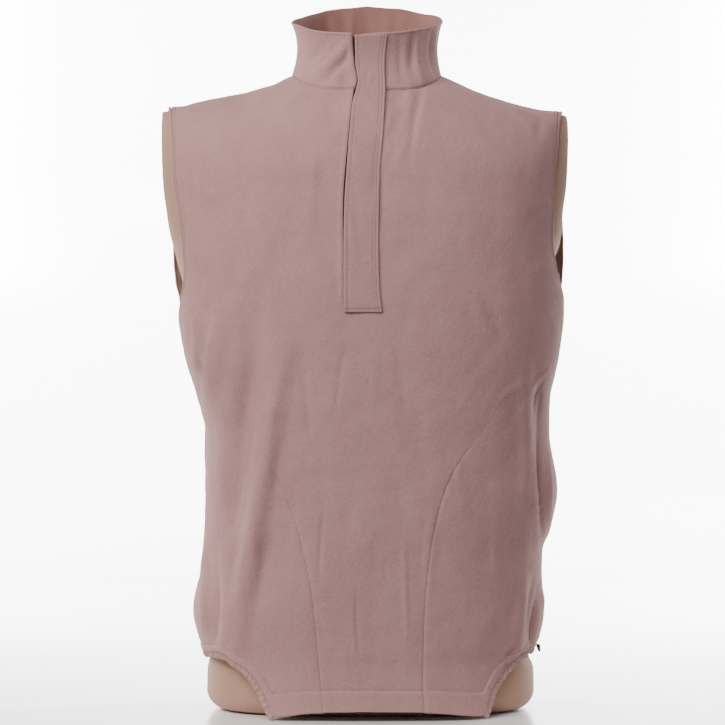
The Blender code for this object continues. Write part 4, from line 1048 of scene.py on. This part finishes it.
def make_flap():
    """The flap, laid on the front's cloth and lifting towards its free edge."""
    edge = np.array(EDGE_PLACES)
    between = np.linspace(FLAP_FOOT + 0.006, FLAP_TOP - 0.005, 92)
    heights = np.concatenate([FLAP_FOOT + edge, between, FLAP_TOP - edge[::-1]])
    shares = np.unique(np.round(np.concatenate([
        edge / FLAP_WIDTH, np.linspace(0.12, 0.88, 11), 1 - edge / FLAP_WIDTH]), 5))
    height, share = np.meshgrid(heights, shares, indexing="ij")
    left, right = read(FLAP, "left", height), read(FLAP, "right", height)
    x = left + (right - left) * share
    points, normals = front_line(x, height)
    points, normals = smoothed(points, 3), unit(smoothed(normals, 6))
    under = CLOTH + (COLLAR_CLOTH - CLOTH) * soft_step(height - THICK_UNDER_FLAP, THICK_RAMP)
    lift = FLAP_LIFT * (1 - share) ** 1.5 * np.clip((height - FLAP_FOOT) / FLAP_RAMP, 0, 1)
    seam_bump = groove(height - NECK_SEAM_HEIGHT, 0.0004, 0.003)
    out = under + LAID_ON + lift - seam_bump
    out = out + crease_height(FLAP_CREASES, x, height) * (share < 0.97)
    out = out + soft_noise(points, 0.02, 0.0004, 11.0)
    sewn = (1 - share) * FLAP_WIDTH
    out = out + groove(share * FLAP_WIDTH - FREE_ROW, *FLAP_GROOVES[0])
    for place, shape in zip(SEWN_ROWS, FLAP_GROOVES):
        out = out + groove(sewn - place, *shape)
    out = out + groove(height - FLAP_FOOT - 0.0022, 0.0004, 0.0011)
    points = points + normals * out[..., None]
    normals = surface_normals(points, normals)
    cloth_shell("placket_flap_cloth", points, normals, FLAP_CLOTH, heights=heights)


def make_zip():
    """The closed zip's tape, behind the opening."""
    heights = np.linspace(FLAP_FOOT + ZIP_FOOT_MARGIN, FLAP_TOP - ZIP_TOP_MARGIN, ZIP_ROWS)
    middle = slot_left(heights) + ZIP_SLOT / 2
    share = np.linspace(-1, 1, 9)
    points, normals = front_line(middle[:, None] + ZIP_HALF_WIDTH * share, heights[:, None])
    points, normals = smoothed(points, 3), unit(smoothed(normals, 6))
    near = np.clip(1 - np.abs(heights - NECK_SEAM_HEIGHT) / ZIP_BEND, 0, 1)
    back = TRIM_CLOTH + ZIP_BEHIND * (1 + near)
    cloth_shell("zip_tape", points - normals * back[:, None, None], normals, TRIM_CLOTH)


make_flap()
make_zip()

# %% [markdown]
# ## Bound armholes and gathered hems
# A narrow binding runs round each armhole, and an elastic casing round each scooped side hem.
# Both are swept along the real edge of the panels, so they follow every crease. The casing is
# drawn up by its elastic, so it swells and pinches unevenly.

# %% Swept trims
BINDING_WIDTH, BINDING_THICK = 0.0038, 0.0021
CASING_WIDTH, CASING_THICK = 0.0072, 0.0026
AROUND, OBLONG, TRIM_STEP = 12, 2.6, 0.0016
WIDTH_SWELL, THICK_SWELL, OUT_SWELL = 0.05, 0.36, 0.0008  # how much the gathers change


def loft(name, rings, cyclic=False):
    """A closed tube through rings of points. An open one gets flat ends."""
    count, around = rings.shape[:2]
    index = np.arange(count * around).reshape(count, around)
    following = np.roll(index, -1, 0) if cyclic else index[1:]
    base = index if cyclic else index[:-1]
    cells = np.stack([base, np.roll(base, -1, 1), np.roll(following, -1, 1), following], -1)
    faces = cells.reshape(-1, 4).tolist()
    if not cyclic:
        faces += [index[0, ::-1].tolist(), index[-1].tolist()]
    points = rings.reshape(-1, 3)
    quads = cells.reshape(-1, 4)
    a, b, c, d = (points[quads[:, k]] for k in range(4))
    centre = points.mean(0)
    volume = (np.cross(b - centre, c - centre) * (a - centre)).sum()
    volume += (np.cross(c - centre, d - centre) * (a - centre)).sum()
    if volume < 0:
        faces = [loop[::-1] for loop in faces]
    return make_piece(name, points, faces)


def thinned(path, normals, step):
    """A path with its points about a step apart, and the normals there."""
    along = line_lengths(path[None], 1)[0]
    spots = np.linspace(0, along[-1], max(int(along[-1] / step), 3))
    pick = [np.stack([np.interp(spots, along, part[:, k]) for k in range(3)], -1)
            for part in (path, normals)]
    return pick[0], unit(pick[1]), spots


def pull(spot):
    """How far the elastic draws up a place along the trim."""
    drift = 2 * noise.noise(Vector((spot * 40, 1.0, 0)))
    wave = 0.6 * math.sin(spot * 2 * math.pi / GATHER_STEP + drift)
    return noise.noise(Vector((spot * 150, 4.0, 0))) + wave


def oblong(value):
    """A sine or cosine squared off, for a section between an oval and a box."""
    return np.abs(value) ** (2 / OBLONG) * np.sign(value)


def trim(name, path, normals, towards, width, thick, gather=0.0, cyclic=False):
    """A soft band beyond an edge. Its section is a rounded oblong."""
    path, normals, spots = thinned(path, normals, TRIM_STEP)
    print(name, "length in mm:", round(float(spots[-1]) * 1000))
    if cyclic:
        path, normals, spots = path[:-1], normals[:-1], spots[:-1]
        tangent = np.roll(path, -1, 0) - np.roll(path, 1, 0)
    else:
        tangent = np.gradient(path, axis=0)
    away = unit(np.cross(normals, unit(tangent))) * towards
    if cyclic:
        for _ in range(6):
            away = unit(np.roll(away, 1, 0) + 2 * away + np.roll(away, -1, 0))
    around = np.radians(np.arange(AROUND) * 360 / AROUND)
    flat, tall = oblong(np.cos(around)), oblong(np.sin(around))
    pulled = gather * np.array([pull(spot) for spot in spots])[:, None]
    width_now = width * (1 + WIDTH_SWELL * pulled)
    thick_now = thick * (1 + THICK_SWELL * pulled)
    beyond = SEAM_GAP + width_now / 2 + flat * width_now / 2
    out = CLOTH / 2 + SEAM_GAP + OUT_SWELL * pulled + tall * thick_now / 2
    rings = path[:, None] + away[:, None] * beyond[..., None] + normals[:, None] * out[..., None]
    loft(name, rings, cyclic)


def edge_of(shell, rows, columns):
    """A shell's points and normals along one of its edges."""
    return np.stack([shell["points"][rows, columns], shell["normals"][rows, columns]])


def armhole_path(side):
    """The armhole's edge, up the front and down the back, and the cloth's normals there."""
    column = 0 if side < 0 else -1
    front, back = (
        edge_of(shell, shell["level"][:, column] >= SIDE_SEAM_TOP[side] - 1e-6, column)
        for shell in (shells["front_cloth"], shells["back_cloth"]))
    return np.concatenate([front, back[:, ::-1], front[:, :1]], 1)


def side_hem_path(side, word):
    """The scooped hem's edge, from the front corner to the back corner."""
    shell, back_shell = shells[f"side_front_{word}_cloth"], shells["back_cloth"]
    front = edge_of(shell, 0, shell["base"] >= HEM_CORNER[side] - 1e-6)
    back = edge_of(back_shell, 0, side * back_shell["angle"][0] >= BACK_CORNER)
    return np.concatenate([front[:, ::-1], back] if side < 0 else [front, back[:, ::-1]], 1)


for side, word in WEARER_SIDES:
    trim(f"armhole_binding_{word}_cloth", *armhole_path(side), -side, BINDING_WIDTH,
         BINDING_THICK, 0.12, True)
    trim(f"hem_casing_{word}_cloth", *side_hem_path(side, word), -side, CASING_WIDTH,
         CASING_THICK, 1.0)

# %% [markdown]
# ## The dress form
# The form is a plain torso with shoulder stumps and a short neck, covered in smooth stretched
# cloth. It is a stack of rounded sections. Flat ends cut off the stumps, and every edge is soft.
# The stumps are a little fuller than the solid's, because of the tan strips in the picture.

# %% The dress form
FORM_FILLET, STUMP_EDGE = 0.022, 0.003
FORM = table(
    # an end of 0.30 lies outside the form, so it cuts nothing off
    "height centre left right left_end right_end front back square",
    (0.000, 0.0044, 0.1850, 0.1840, 0.30, 0.30, 0.0930, 0.0960, 2.6),
    (0.045, 0.0044, 0.1840, 0.1830, 0.30, 0.30, 0.0970, 0.0990, 2.6),
    (0.065, 0.0035, 0.1785, 0.1760, 0.30, 0.30, 0.0990, 0.1010, 2.6),
    (0.140, 0.0020, 0.1720, 0.1740, 0.30, 0.30, 0.1030, 0.1050, 2.5),
    (0.250, 0.0000, 0.1640, 0.1680, 0.30, 0.30, 0.0980, 0.1000, 2.4),
    (0.360, 0.0000, 0.1720, 0.1760, 0.30, 0.30, 0.1060, 0.1070, 2.4),
    (0.440, 0.0000, 0.1920, 0.1900, 0.2150, 0.2120, 0.1150, 0.1140, 2.4),
    (0.466, 0.0000, 0.2035, 0.1980, 0.2160, 0.2130, 0.1160, 0.1150, 2.35),
    (0.492, 0.0000, 0.2115, 0.2060, 0.2180, 0.2170, 0.1165, 0.1155, 2.30),
    (0.520, 0.0000, 0.2200, 0.2180, 0.2215, 0.2190, 0.1160, 0.1150, 2.3),
    (0.550, 0.0000, 0.2330, 0.2290, 0.2240, 0.2190, 0.1140, 0.1130, 2.25),
    (0.585, 0.0000, 0.2400, 0.2360, 0.2283, 0.2230, 0.1100, 0.1100, 2.2),
    (0.620, 0.0000, 0.2430, 0.2380, 0.2302, 0.2252, 0.1040, 0.1050, 2.05),
    (0.645, 0.0000, 0.2440, 0.2380, 0.2310, 0.2262, 0.0940, 0.0980, 1.85),
    (0.660, 0.0000, 0.2430, 0.2360, 0.2314, 0.2262, 0.0820, 0.0855, 1.60),
    (0.6660, 0.0000, 0.2410, 0.2300, 0.2316, 0.2257, 0.0760, 0.0800, 1.42),
    (0.6705, 0.0000, 0.2390, 0.1850, 0.2316, 0.30, 0.0720, 0.0760, 1.36),
    (0.6730, 0.0000, 0.2100, 0.1700, 0.30, 0.30, 0.0725, 0.0765, 1.42),
    (0.678, 0.0000, 0.1660, 0.1480, 0.30, 0.30, 0.0760, 0.0780, 1.6),
    (0.684, 0.0000, 0.1340, 0.1310, 0.30, 0.30, 0.0720, 0.0750, 1.7),
    (0.692, 0.0000, 0.1100, 0.1100, 0.30, 0.30, 0.0680, 0.0700, 1.85),
    (0.702, 0.0000, 0.0900, 0.0900, 0.30, 0.30, 0.0640, 0.0650, 2.0),
    (0.712, 0.0000, 0.0730, 0.0730, 0.30, 0.30, 0.0610, 0.0610, 2.0),
    (0.722, 0.0000, 0.0650, 0.0650, 0.30, 0.30, 0.0600, 0.0600, 2.0),
    (0.730, 0.0000, 0.0620, 0.0620, 0.30, 0.30, 0.0590, 0.0590, 2.0),
)
FORM_AROUND = 192
NECK_ROUND = 0.003


def form_ring(height, draw_in):
    """One horizontal ring of the form, drawn in at the rounded ends."""
    row = {field: float(read(FORM, field, height)) for field in FORM if field != "height"}
    across, deep = unit_section(np.arange(FORM_AROUND) * 360 / FORM_AROUND, row["square"])
    width = np.where(across >= 0, row["right"], row["left"]) - draw_in
    end = np.where(across >= 0, row["right_end"], row["left_end"])
    depth = np.where(deep >= 0, row["front"], row["back"]) - draw_in
    x = np.abs(width * across)
    x = -STUMP_EDGE * np.log(np.exp(-x / STUMP_EDGE) + np.exp(-end / STUMP_EDGE))
    return np.stack([row["centre"] + np.sign(across) * x, -depth * deep,
                     np.full(FORM_AROUND, height)], -1)


def make_form():
    rings = []
    for turn in np.radians(np.linspace(0, 90, 9)):
        rings.append(form_ring(FORM_FILLET * (1 - math.cos(turn)),
                               FORM_FILLET * (1 - math.sin(turn))))
    top = FORM["height"][-1]
    heights = np.concatenate([np.linspace(0.028, 0.65, 110), np.linspace(0.652, 0.727, 50)])
    rings += [form_ring(height, 0.0) for height in heights]
    for turn in np.radians(np.linspace(15, 90, 5)):
        rings.append(form_ring(top - NECK_ROUND * (1 - math.sin(turn)),
                               NECK_ROUND * (1 - math.cos(turn))))
    return loft("dress_form_cover", np.array(rings))


form_item = make_form()

# %% [markdown]
# ## The end of the elastic
# A small black tapered end hangs at the wearer's left side hem, where the elastic comes out of
# its casing. It is turned on its own axis: a short neck, a full body and a blunt tip.

# %% The elastic's end
END_PROFILE = (
    # share of the length, share of the radius
    (0.00, 0.30), (0.03, 0.62), (0.08, 0.85), (0.16, 1.00), (0.30, 1.00),
    (0.55, 0.93), (0.78, 0.74), (0.90, 0.56), (0.97, 0.38), (1.00, 0.15),
)
END_RADIUS, END_LENGTH, END_AROUND = 0.0022, 0.009, 20
END_WAY = (0.18, -0.30, -0.93)


def make_cord_end():
    """The black end, centred on the middle of its solid."""
    low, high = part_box("cord_end")
    way = Vector(END_WAY).normalized()
    turn = np.array(way.to_track_quat("Z", "Y").to_matrix())
    middle = (np.array(low) + np.array(high)) / 2
    start = middle - np.array(way) * END_LENGTH / 2
    around = np.radians(np.arange(END_AROUND) * 360 / END_AROUND)
    rings = []
    for along, size in END_PROFILE:
        local = np.stack([np.cos(around), np.sin(around), 0 * around], -1) * size * END_RADIUS
        rings.append(start + local @ turn.T + np.array(way) * END_LENGTH * along)
    return loft("black_cord_end", np.array(rings))


cord_end_item = make_cord_end()

# %% [markdown]
# ## Sewing
# Every visible line of sewing is a row of short stitches with small gaps. The rows follow lines
# taken from the shells themselves, so they ride over each crease. One Geometry Nodes tree makes
# any row: it spaces points along the line and puts a small bead of thread on each, turned to it.

# %% Lines of sewing
THREAD, NEAR_HEM, COLLAR_ROW = 0.00022, 0.0018, 0.0022


def line_at(shell, offset, from_right=False, rows=None):
    """A line on a shell at a distance from one of its upright edges."""
    outer = shell["outer"] + shell["normals"] * THREAD
    distance = line_lengths(shell["outer"], 1)
    if from_right:
        distance = distance[:, -1:] - distance
        distance, outer = distance[:, ::-1], outer[:, ::-1]
    chosen = range(len(outer)) if rows is None else np.nonzero(rows)[0]
    return np.array([[np.interp(offset, distance[r], outer[r, :, k]) for k in range(3)]
                     for r in chosen])


def row_line(shell, row, columns=slice(None)):
    """A line on a shell along one of its rows."""
    return (shell["outer"][row] + shell["normals"][row] * THREAD)[columns]


def nearest(values, wanted):
    return int(np.argmin(np.abs(values - wanted)))


hem_row, near_hem = nearest(LOWER_LEVELS, HEM_TURN_UP), nearest(LOWER_LEVELS, NEAR_HEM)
back_shell = shells["back_cloth"]
sew("front", row_line(shells["front_cloth"], hem_row))
sew("back", row_line(back_shell, hem_row, np.abs(back_shell["angle"][hem_row]) < BACK_CORNER + 2))
for side, word in WEARER_SIDES:
    shell = shells[f"side_front_{word}_cloth"]
    sew(f"side_front_{word}", row_line(shell, hem_row, shell["base"] <= HEM_CORNER[side] + 0.5))
    sew(f"side_front_{word}", row_line(shell, near_hem, shell["base"] >= HEM_CORNER[side] + 1.5))
    sew("back", row_line(back_shell, near_hem, side * back_shell["angle"][0] >= BACK_CORNER))
    for name in ("front", "back"):
        shell = shells[f"{name}_cloth"]
        rows = shell["level"][:, 0 if side < 0 else -1] >= SIDE_SEAM_TOP[side] + ARMHOLE_START
        for offset in ARMHOLE_ROWS:
            sew(name, line_at(shell, offset, side > 0, rows))

flap = shells["placket_flap_cloth"]
sew("flap", line_at(flap, FREE_ROW))
for offset in SEWN_ROWS:
    sew("flap", line_at(flap, offset, True))
for rise in FOOT_ROWS:
    sew("flap", row_line(flap, nearest(flap["heights"] - FLAP_FOOT, rise)))
# The collar's row is the same kind of line, on a shell whose rows and columns change places.
collar = shells["collar_cloth"]
sew("collar", line_at({part: np.swapaxes(collar[part], 0, 1) for part in ("outer", "normals")},
                      COLLAR_ROW))
print("lines of sewing:", {name: len(lines) for name, lines in sewing.items()})

# %% [markdown]
# ## Materials
# The vest is brushed microfibre. Its nap gives the eye a dull surface with a soft pale bloom
# where it turns away, and a very fine grain. The form's cover is a smooth, tight fabric. The
# elastic's end is satin black plastic. Pattern sizes are given in millimetres.

# %% Colours and nodes


def linear(code):
    """An sRGB hex colour as linear red, green, blue and alpha."""
    parts = [int(code[k:k + 2], 16) / 255 for k in (0, 2, 4)]
    return [c / 12.92 if c <= 0.04045 else ((c + 0.055) / 1.055) ** 2.4 for c in parts] + [1.0]


def node(tree, kind, settings=None, **links):
    """Adds a node. Links are given by socket name, as a value or as another node's output."""
    added = tree.nodes.new(kind)
    for field, value in (settings or {}).items():
        setattr(added, field, value)
    for name, value in links.items():
        socket = next(s for s in added.inputs if s.identifier == name or s.name == name)
        if isinstance(value, bpy.types.NodeSocket):
            tree.links.new(value, socket)
        else:
            socket.default_value = value
    return added


def cloth_material(name, colour, shade, grain_mm, roughness, sheen, bump_mm, crumple_mm=0.0):
    """Cloth with a fine nap. The colour drifts a little, as brushed cloth does."""
    material = bpy.data.materials.new(name)
    material.use_nodes = True
    tree = material.node_tree
    shader = tree.nodes["Principled BSDF"]
    place = node(tree, "ShaderNodeTexCoord").outputs["Object"]
    # The clouds are drawn out along the cloth's length, as the nap lies.
    drawn = node(tree, "ShaderNodeMapping", None, Vector=place, Scale=(1.0, 1.0, 0.3))
    cloudy = node(tree, "ShaderNodeTexNoise", None, Vector=drawn.outputs[0], Scale=1000 / 22.0,
                  Detail=4.0)
    # A 0.5 mm nap is drawn at grain_mm, the finest that the picture can show.
    grain = node(tree, "ShaderNodeTexNoise", None, Vector=place, Scale=1000 / grain_mm, Detail=3.0)
    mixed = node(tree, "ShaderNodeMath", {"operation": "MULTIPLY_ADD"},
                 Value=cloudy.outputs["Fac"], Value_001=0.3, Value_002=0.0)
    total = node(tree, "ShaderNodeMath", {"operation": "MULTIPLY_ADD"},
                 Value=grain.outputs["Fac"], Value_001=0.7, Value_002=mixed.outputs[0])
    ramp = node(tree, "ShaderNodeValToRGB", None, Fac=total.outputs[0])
    ramp.color_ramp.elements[0].position, ramp.color_ramp.elements[1].position = 0.34, 0.66
    ramp.color_ramp.elements[0].color = linear(shade)
    ramp.color_ramp.elements[1].color = linear(colour)
    tree.links.new(ramp.outputs["Color"], shader.inputs["Base Color"])
    # Two sizes of relief: tiny crumples some 6 mm across, and the nap on them.
    crumple = node(tree, "ShaderNodeTexNoise", None, Vector=place, Scale=1000 / 6.0, Detail=2.0)
    soft = node(tree, "ShaderNodeBump", None, Height=crumple.outputs["Fac"], Strength=1.0,
                Distance=crumple_mm / 1000)
    bump = node(tree, "ShaderNodeBump", None, Height=grain.outputs["Fac"], Strength=1.0,
                Distance=bump_mm / 1000, Normal=soft.outputs["Normal"])
    tree.links.new(bump.outputs["Normal"], shader.inputs["Normal"])
    shader.inputs["Roughness"].default_value = roughness
    shader.inputs["Sheen Weight"].default_value = sheen
    shader.inputs["Sheen Roughness"].default_value = 0.45
    shader.inputs["Sheen Tint"].default_value = linear("E6D2CE")
    shader.inputs["Specular IOR Level"].default_value = 0.25
    return material


def plain_material(name, colour, roughness):
    material = bpy.data.materials.new(name)
    material.use_nodes = True
    shader = material.node_tree.nodes["Principled BSDF"]
    shader.inputs["Base Color"].default_value = linear(colour)
    shader.inputs["Roughness"].default_value = roughness
    return material


INNER_FINISH = (1.4, 0.80, 0.05, 0.08, 0.30)
MICROFIBRE = cloth_material("brushed_microfibre", "AA8482", "9A7472", 1.5, 0.85, 0.20, 0.10, 0.45)
# The collar's inner face is painted darker than the outer cloth, as shade inside the collar.
COLLAR_INSIDE_SHADE = cloth_material("microfibre_painted_inside_shade", "8A635C", "7F5A53", *INNER_FINISH)
# The pale tan is only a colour on the panels' wrong side beside the armholes, not a piece. It
# stands in for the form's tan seen through the armhole, painted paler than the form's cover to
# lift the shade in the hollow.
TAN_PAINTED_LIGHT = cloth_material("armhole_tan_painted_light", "D4BEAE", "CBB5A5", *INNER_FINISH)
THREAD_MATERIAL = cloth_material("polyester_thread", "906D69", "846260", 1.2, 0.60, 0.10, 0.02)
COVER = cloth_material("stretched_form_cover", "A78573", "A07D6B", 1.4, 0.62, 0.12, 0.03)
# The zip tape is painted dark as the shade in the slit beside the flap; its own colour is the
# cloth's.
TAPE_PAINTED_SHADE = cloth_material("zip_tape_painted_shade", "4A3431", "40302D", 1.0, 0.80, 0.10, 0.04)
TEETH_MATERIAL = plain_material("moulded_nylon", "3F2E2C", 0.45)
BLACK = plain_material("satin_black_plastic", "141314", 0.38)
# The second material is painted shade on the collar's inside, and painted light on the pale tan
# beside the armholes.
for piece in made_pieces:
    indices = [face.material_index for face in piece.data.polygons]
    piece.data.materials.append(MICROFIBRE)
    if any(indices):
        piece.data.materials.append(COLLAR_INSIDE_SHADE if piece.name == "collar_cloth" else TAN_PAINTED_LIGHT)
        piece.data.polygons.foreach_set("material_index", indices)
for item, material in ((form_item, COVER), (shells["zip_tape"]["item"], TAPE_PAINTED_SHADE),
                       (cord_end_item, BLACK)):
    item.data.materials[0] = material

# %% [markdown]
# ## Stitches and zip teeth with Geometry Nodes
# Sewing on a maker's machine gives a stitch each two to three millimetres. The tree takes the
# lines as curves, spaces points along them at the stitch length and puts one small bead of
# thread on each, turned along its line. The same tree places the zip's teeth.

# %% The row maker


def row_tree(name, material):
    """A Geometry Nodes tree: beads along lines, with their spacing, length and thickness."""
    tree = bpy.data.node_groups.new(name, "GeometryNodeTree")
    interface = tree.interface
    interface.new_socket("Geometry", in_out="INPUT", socket_type="NodeSocketGeometry")
    for label, size in (("Spacing", 0.0026), ("Bead Length", 0.0018), ("Bead Thickness", 0.0006)):
        socket = interface.new_socket(label, in_out="INPUT", socket_type="NodeSocketFloat")
        socket.default_value = size
    interface.new_socket("Geometry", in_out="OUTPUT", socket_type="NodeSocketGeometry")
    source = tree.nodes.new("NodeGroupInput")
    lines = node(tree, "GeometryNodeMeshToCurve", None, Mesh=source.outputs["Geometry"])
    spots = node(tree, "GeometryNodeCurveToPoints", {"mode": "LENGTH"},
                 Curve=lines.outputs["Curve"], Length=source.outputs["Spacing"])
    bead = node(tree, "GeometryNodeMeshIcoSphere", None, Radius=0.5, Subdivisions=1)
    size = node(tree, "ShaderNodeCombineXYZ", None, X=source.outputs["Bead Thickness"],
                Y=source.outputs["Bead Thickness"], Z=source.outputs["Bead Length"])
    placed = node(tree, "GeometryNodeInstanceOnPoints", None, Points=spots.outputs["Points"],
                  Instance=bead.outputs["Mesh"], Rotation=spots.outputs["Rotation"],
                  Scale=size.outputs["Vector"])
    real = node(tree, "GeometryNodeRealizeInstances", None, Geometry=placed.outputs["Instances"])
    smooth = node(tree, "GeometryNodeSetShadeSmooth", None, Geometry=real.outputs["Geometry"])
    dressed = node(tree, "GeometryNodeSetMaterial", None, Geometry=smooth.outputs["Geometry"],
                   Material=material)
    target = tree.nodes.new("NodeGroupOutput")
    tree.links.new(dressed.outputs["Geometry"], target.inputs["Geometry"])
    return tree


def bead_rows(name, lines, material, spacing, length, thickness):
    """Beads along some lines of points, as one plain mesh."""
    vertices, edges = [], []
    for line in lines:
        start = len(vertices)
        vertices += line.tolist()
        edges += [(start + k, start + k + 1) for k in range(len(line) - 1)]
    mesh = bpy.data.meshes.new(name + "_lines")
    mesh.from_pydata(vertices, edges, [])
    guide = bpy.data.objects.new(name + "_lines", mesh)
    bpy.context.scene.collection.objects.link(guide)
    tree = row_tree(name + "_rows", material)
    modifier = guide.modifiers.new("rows", "NODES")
    modifier.node_group = tree
    sockets = {s.name: s.identifier for s in tree.interface.items_tree if s.in_out == "INPUT"}
    for label, value in (("Spacing", spacing), ("Bead Length", length),
                         ("Bead Thickness", thickness)):
        modifier[sockets[label]] = value
    ready = guide.evaluated_get(bpy.context.evaluated_depsgraph_get())
    made = bpy.data.meshes.new_from_object(ready)
    made.name = name
    if not made.materials:
        made.materials.append(material)
    item = bpy.data.objects.new(name, made)
    bpy.context.scene.collection.objects.link(item)
    bpy.data.objects.remove(guide)
    print(name, "faces:", len(made.polygons))
    return item


# spacing, length and thickness of a bead
STITCHES, TEETH = (0.0027, 0.0020, 0.00062), (0.0016, 0.0011, 0.0017)
stitches = {name: bead_rows("stitches_" + name, lines, THREAD_MATERIAL, *STITCHES)
            for name, lines in sewing.items()}
zip_shell = shells["zip_tape"]
tooth_lines = []
for column in (3, 5):
    middle = (zip_shell["outer"][:, column] + zip_shell["outer"][:, 4]) / 2
    tooth_lines.append(middle + zip_shell["normals"][:, 4] * 0.0002)
zip_teeth = bead_rows("zip_teeth", tooth_lines, TEETH_MATERIAL, *TEETH)

# %% [markdown]
# ## Floor and light
# The product picture was taken against white with one broad soft light to the left of the
# camera, so the left side is pale and the right side lies in soft shade.

# %% The stage
BACKDROP_FRONT, BACKDROP_BACK, BACKDROP_HALF, BACKDROP_TOP = -0.165, 2.4, 0.86, 1.24
BACKDROP_BEND, BACKDROP_LEVEL = 0.8, -0.001
FLOOR_HALF, FLOOR_LEVEL = 3.0, -0.004


def backdrop():
    """A seamless paper sweep: floor, soft bend and wall in one sheet."""
    foot = BACKDROP_BACK - BACKDROP_BEND
    line = [(BACKDROP_FRONT, BACKDROP_LEVEL), (foot, BACKDROP_LEVEL)]
    for turn in np.radians(np.linspace(6, 90, 15)):
        line.append((foot + BACKDROP_BEND * math.sin(turn),
                     BACKDROP_BEND - BACKDROP_BEND * math.cos(turn) + BACKDROP_LEVEL))
    line.append((BACKDROP_BACK, BACKDROP_TOP))
    vertices = [(x, y, z) for y, z in line for x in (-BACKDROP_HALF, BACKDROP_HALF)]
    faces = [(2 * k, 2 * k + 1, 2 * k + 3, 2 * k + 2) for k in range(len(line) - 1)]
    paper = plain_material("white_paper", "FBFBFB", 0.9)
    # A satin coat mirrors the bright wall at the low angle at which the floor is seen.
    shader = paper.node_tree.nodes["Principled BSDF"]
    shader.inputs["Coat Weight"].default_value = 1.0
    shader.inputs["Coat Roughness"].default_value = 0.22
    shader.inputs["Coat IOR"].default_value = 1.9
    return link("paper_backdrop", vertices, faces, paper)


def studio_floor():
    """The grey floor that the paper lies on. It sends little light back up."""
    corners = [(x, y, FLOOR_LEVEL) for x, y in (
        (-FLOOR_HALF, -FLOOR_HALF), (FLOOR_HALF, -FLOOR_HALF),
        (FLOOR_HALF, BACKDROP_BACK), (-FLOOR_HALF, BACKDROP_BACK))]
    return link("studio_floor", corners, [(0, 1, 2, 3)],
                plain_material("grey_floor", "8C8C8C", 0.8))


def soft_light(name, place, aim, size, watts, colour="FFFFFF"):
    """A broad lamp. It is hidden from the camera, so a view from the side sees only its light."""
    data = bpy.data.lights.new(name, "AREA")
    data.shape = "RECTANGLE"
    data.size, data.size_y = size
    data.energy = watts
    data.color = linear(colour)[:3]
    item = bpy.data.objects.new(name, data)
    item.location = place
    item.rotation_euler = (Vector(aim) - Vector(place)).to_track_quat("-Z", "Y").to_euler()
    item.visible_camera = False
    bpy.context.scene.collection.objects.link(item)


backdrop_item = backdrop()
soft_light("key", (-1.8, -1.3, 1.8), (0.0, 0.0, 0.55), (0.7, 0.7), 54, "FFF5EA")
soft_light("front", (-0.6, -2.1, 1.9), (0.0, 0.0, 0.70), (1.1, 0.9), 42)
for side, word in SIDES.items():  # these light the paper wall
    soft_light(f"wall_{word}", (1.35 * side, 0.9, 1.0), (0.15 * side, 2.4, 0.7), (0.9, 1.6), 290)
world = bpy.data.worlds.new("studio")
world.use_nodes = True
world.node_tree.nodes["Background"].inputs["Color"].default_value = linear("FFFFFF")
world.node_tree.nodes["Background"].inputs["Strength"].default_value = 0.34
bpy.context.scene.world = world
studio_floor()
print("stage ready")

# %% [markdown]
# ## The pieces and their cuts
# Each fine piece rides on the model's root body and stands for its solid. Each piece of cloth's
# flat size is listed, with the pieces that go with it. The sizes leave out what is hidden in the
# seams and turned under.

# %% What each piece stands for
STANDS_FOR = {
    "dress_form_cover": "torso_form", "front_cloth": "front", "back_cloth": "back",
    "side_front_right_cloth": "side_front_right", "side_front_left_cloth": "side_front_left",
    "collar_cloth": "collar", "placket_flap_cloth": "placket_flap", "zip_tape": "zip",
    "armhole_binding_right_cloth": "armhole_binding_right",
    "armhole_binding_left_cloth": "armhole_binding_left",
    "hem_casing_right_cloth": "hem_casing_right", "hem_casing_left_cloth": "hem_casing_left",
    "black_cord_end": "cord_end",
}
for piece_name, solid in STANDS_FOR.items():
    piece = bpy.data.objects[piece_name]
    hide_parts(solid)
    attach(piece, "root")
for item in list(stitches.values()) + [zip_teeth]:
    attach(item, "root")
print("pieces:", len(STANDS_FOR) + len(stitches) + 1)

# %% Each sheet's cut
CUTS = {
    # flat width, length and area in metres, and the pieces that go with it
    "front_cloth": (0.500, 0.760, 0.235, (
        "stitches_front", "armhole_binding_right_cloth", "armhole_binding_left_cloth")),
    "back_cloth": (0.575, 0.790, 0.370, ("stitches_back",)),
    "side_front_right_cloth": (0.235, 0.400, 0.058, (
        "stitches_side_front_right", "hem_casing_right_cloth")),
    "side_front_left_cloth": (0.225, 0.410, 0.063, (
        "stitches_side_front_left", "hem_casing_left_cloth")),
    "collar_cloth": (0.541, 0.077, 0.037, ("stitches_collar",)),
    "placket_flap_cloth": (0.038, 0.317, None, ("stitches_flap",)),
    "zip_tape": (0.024, 0.314, None, ("zip_teeth",)),
}
for piece_name in CUTS:
    mesh = bpy.data.objects[piece_name].data
    print(piece_name, "half surface:", round(sum(f.area for f in mesh.polygons) / 2, 4))
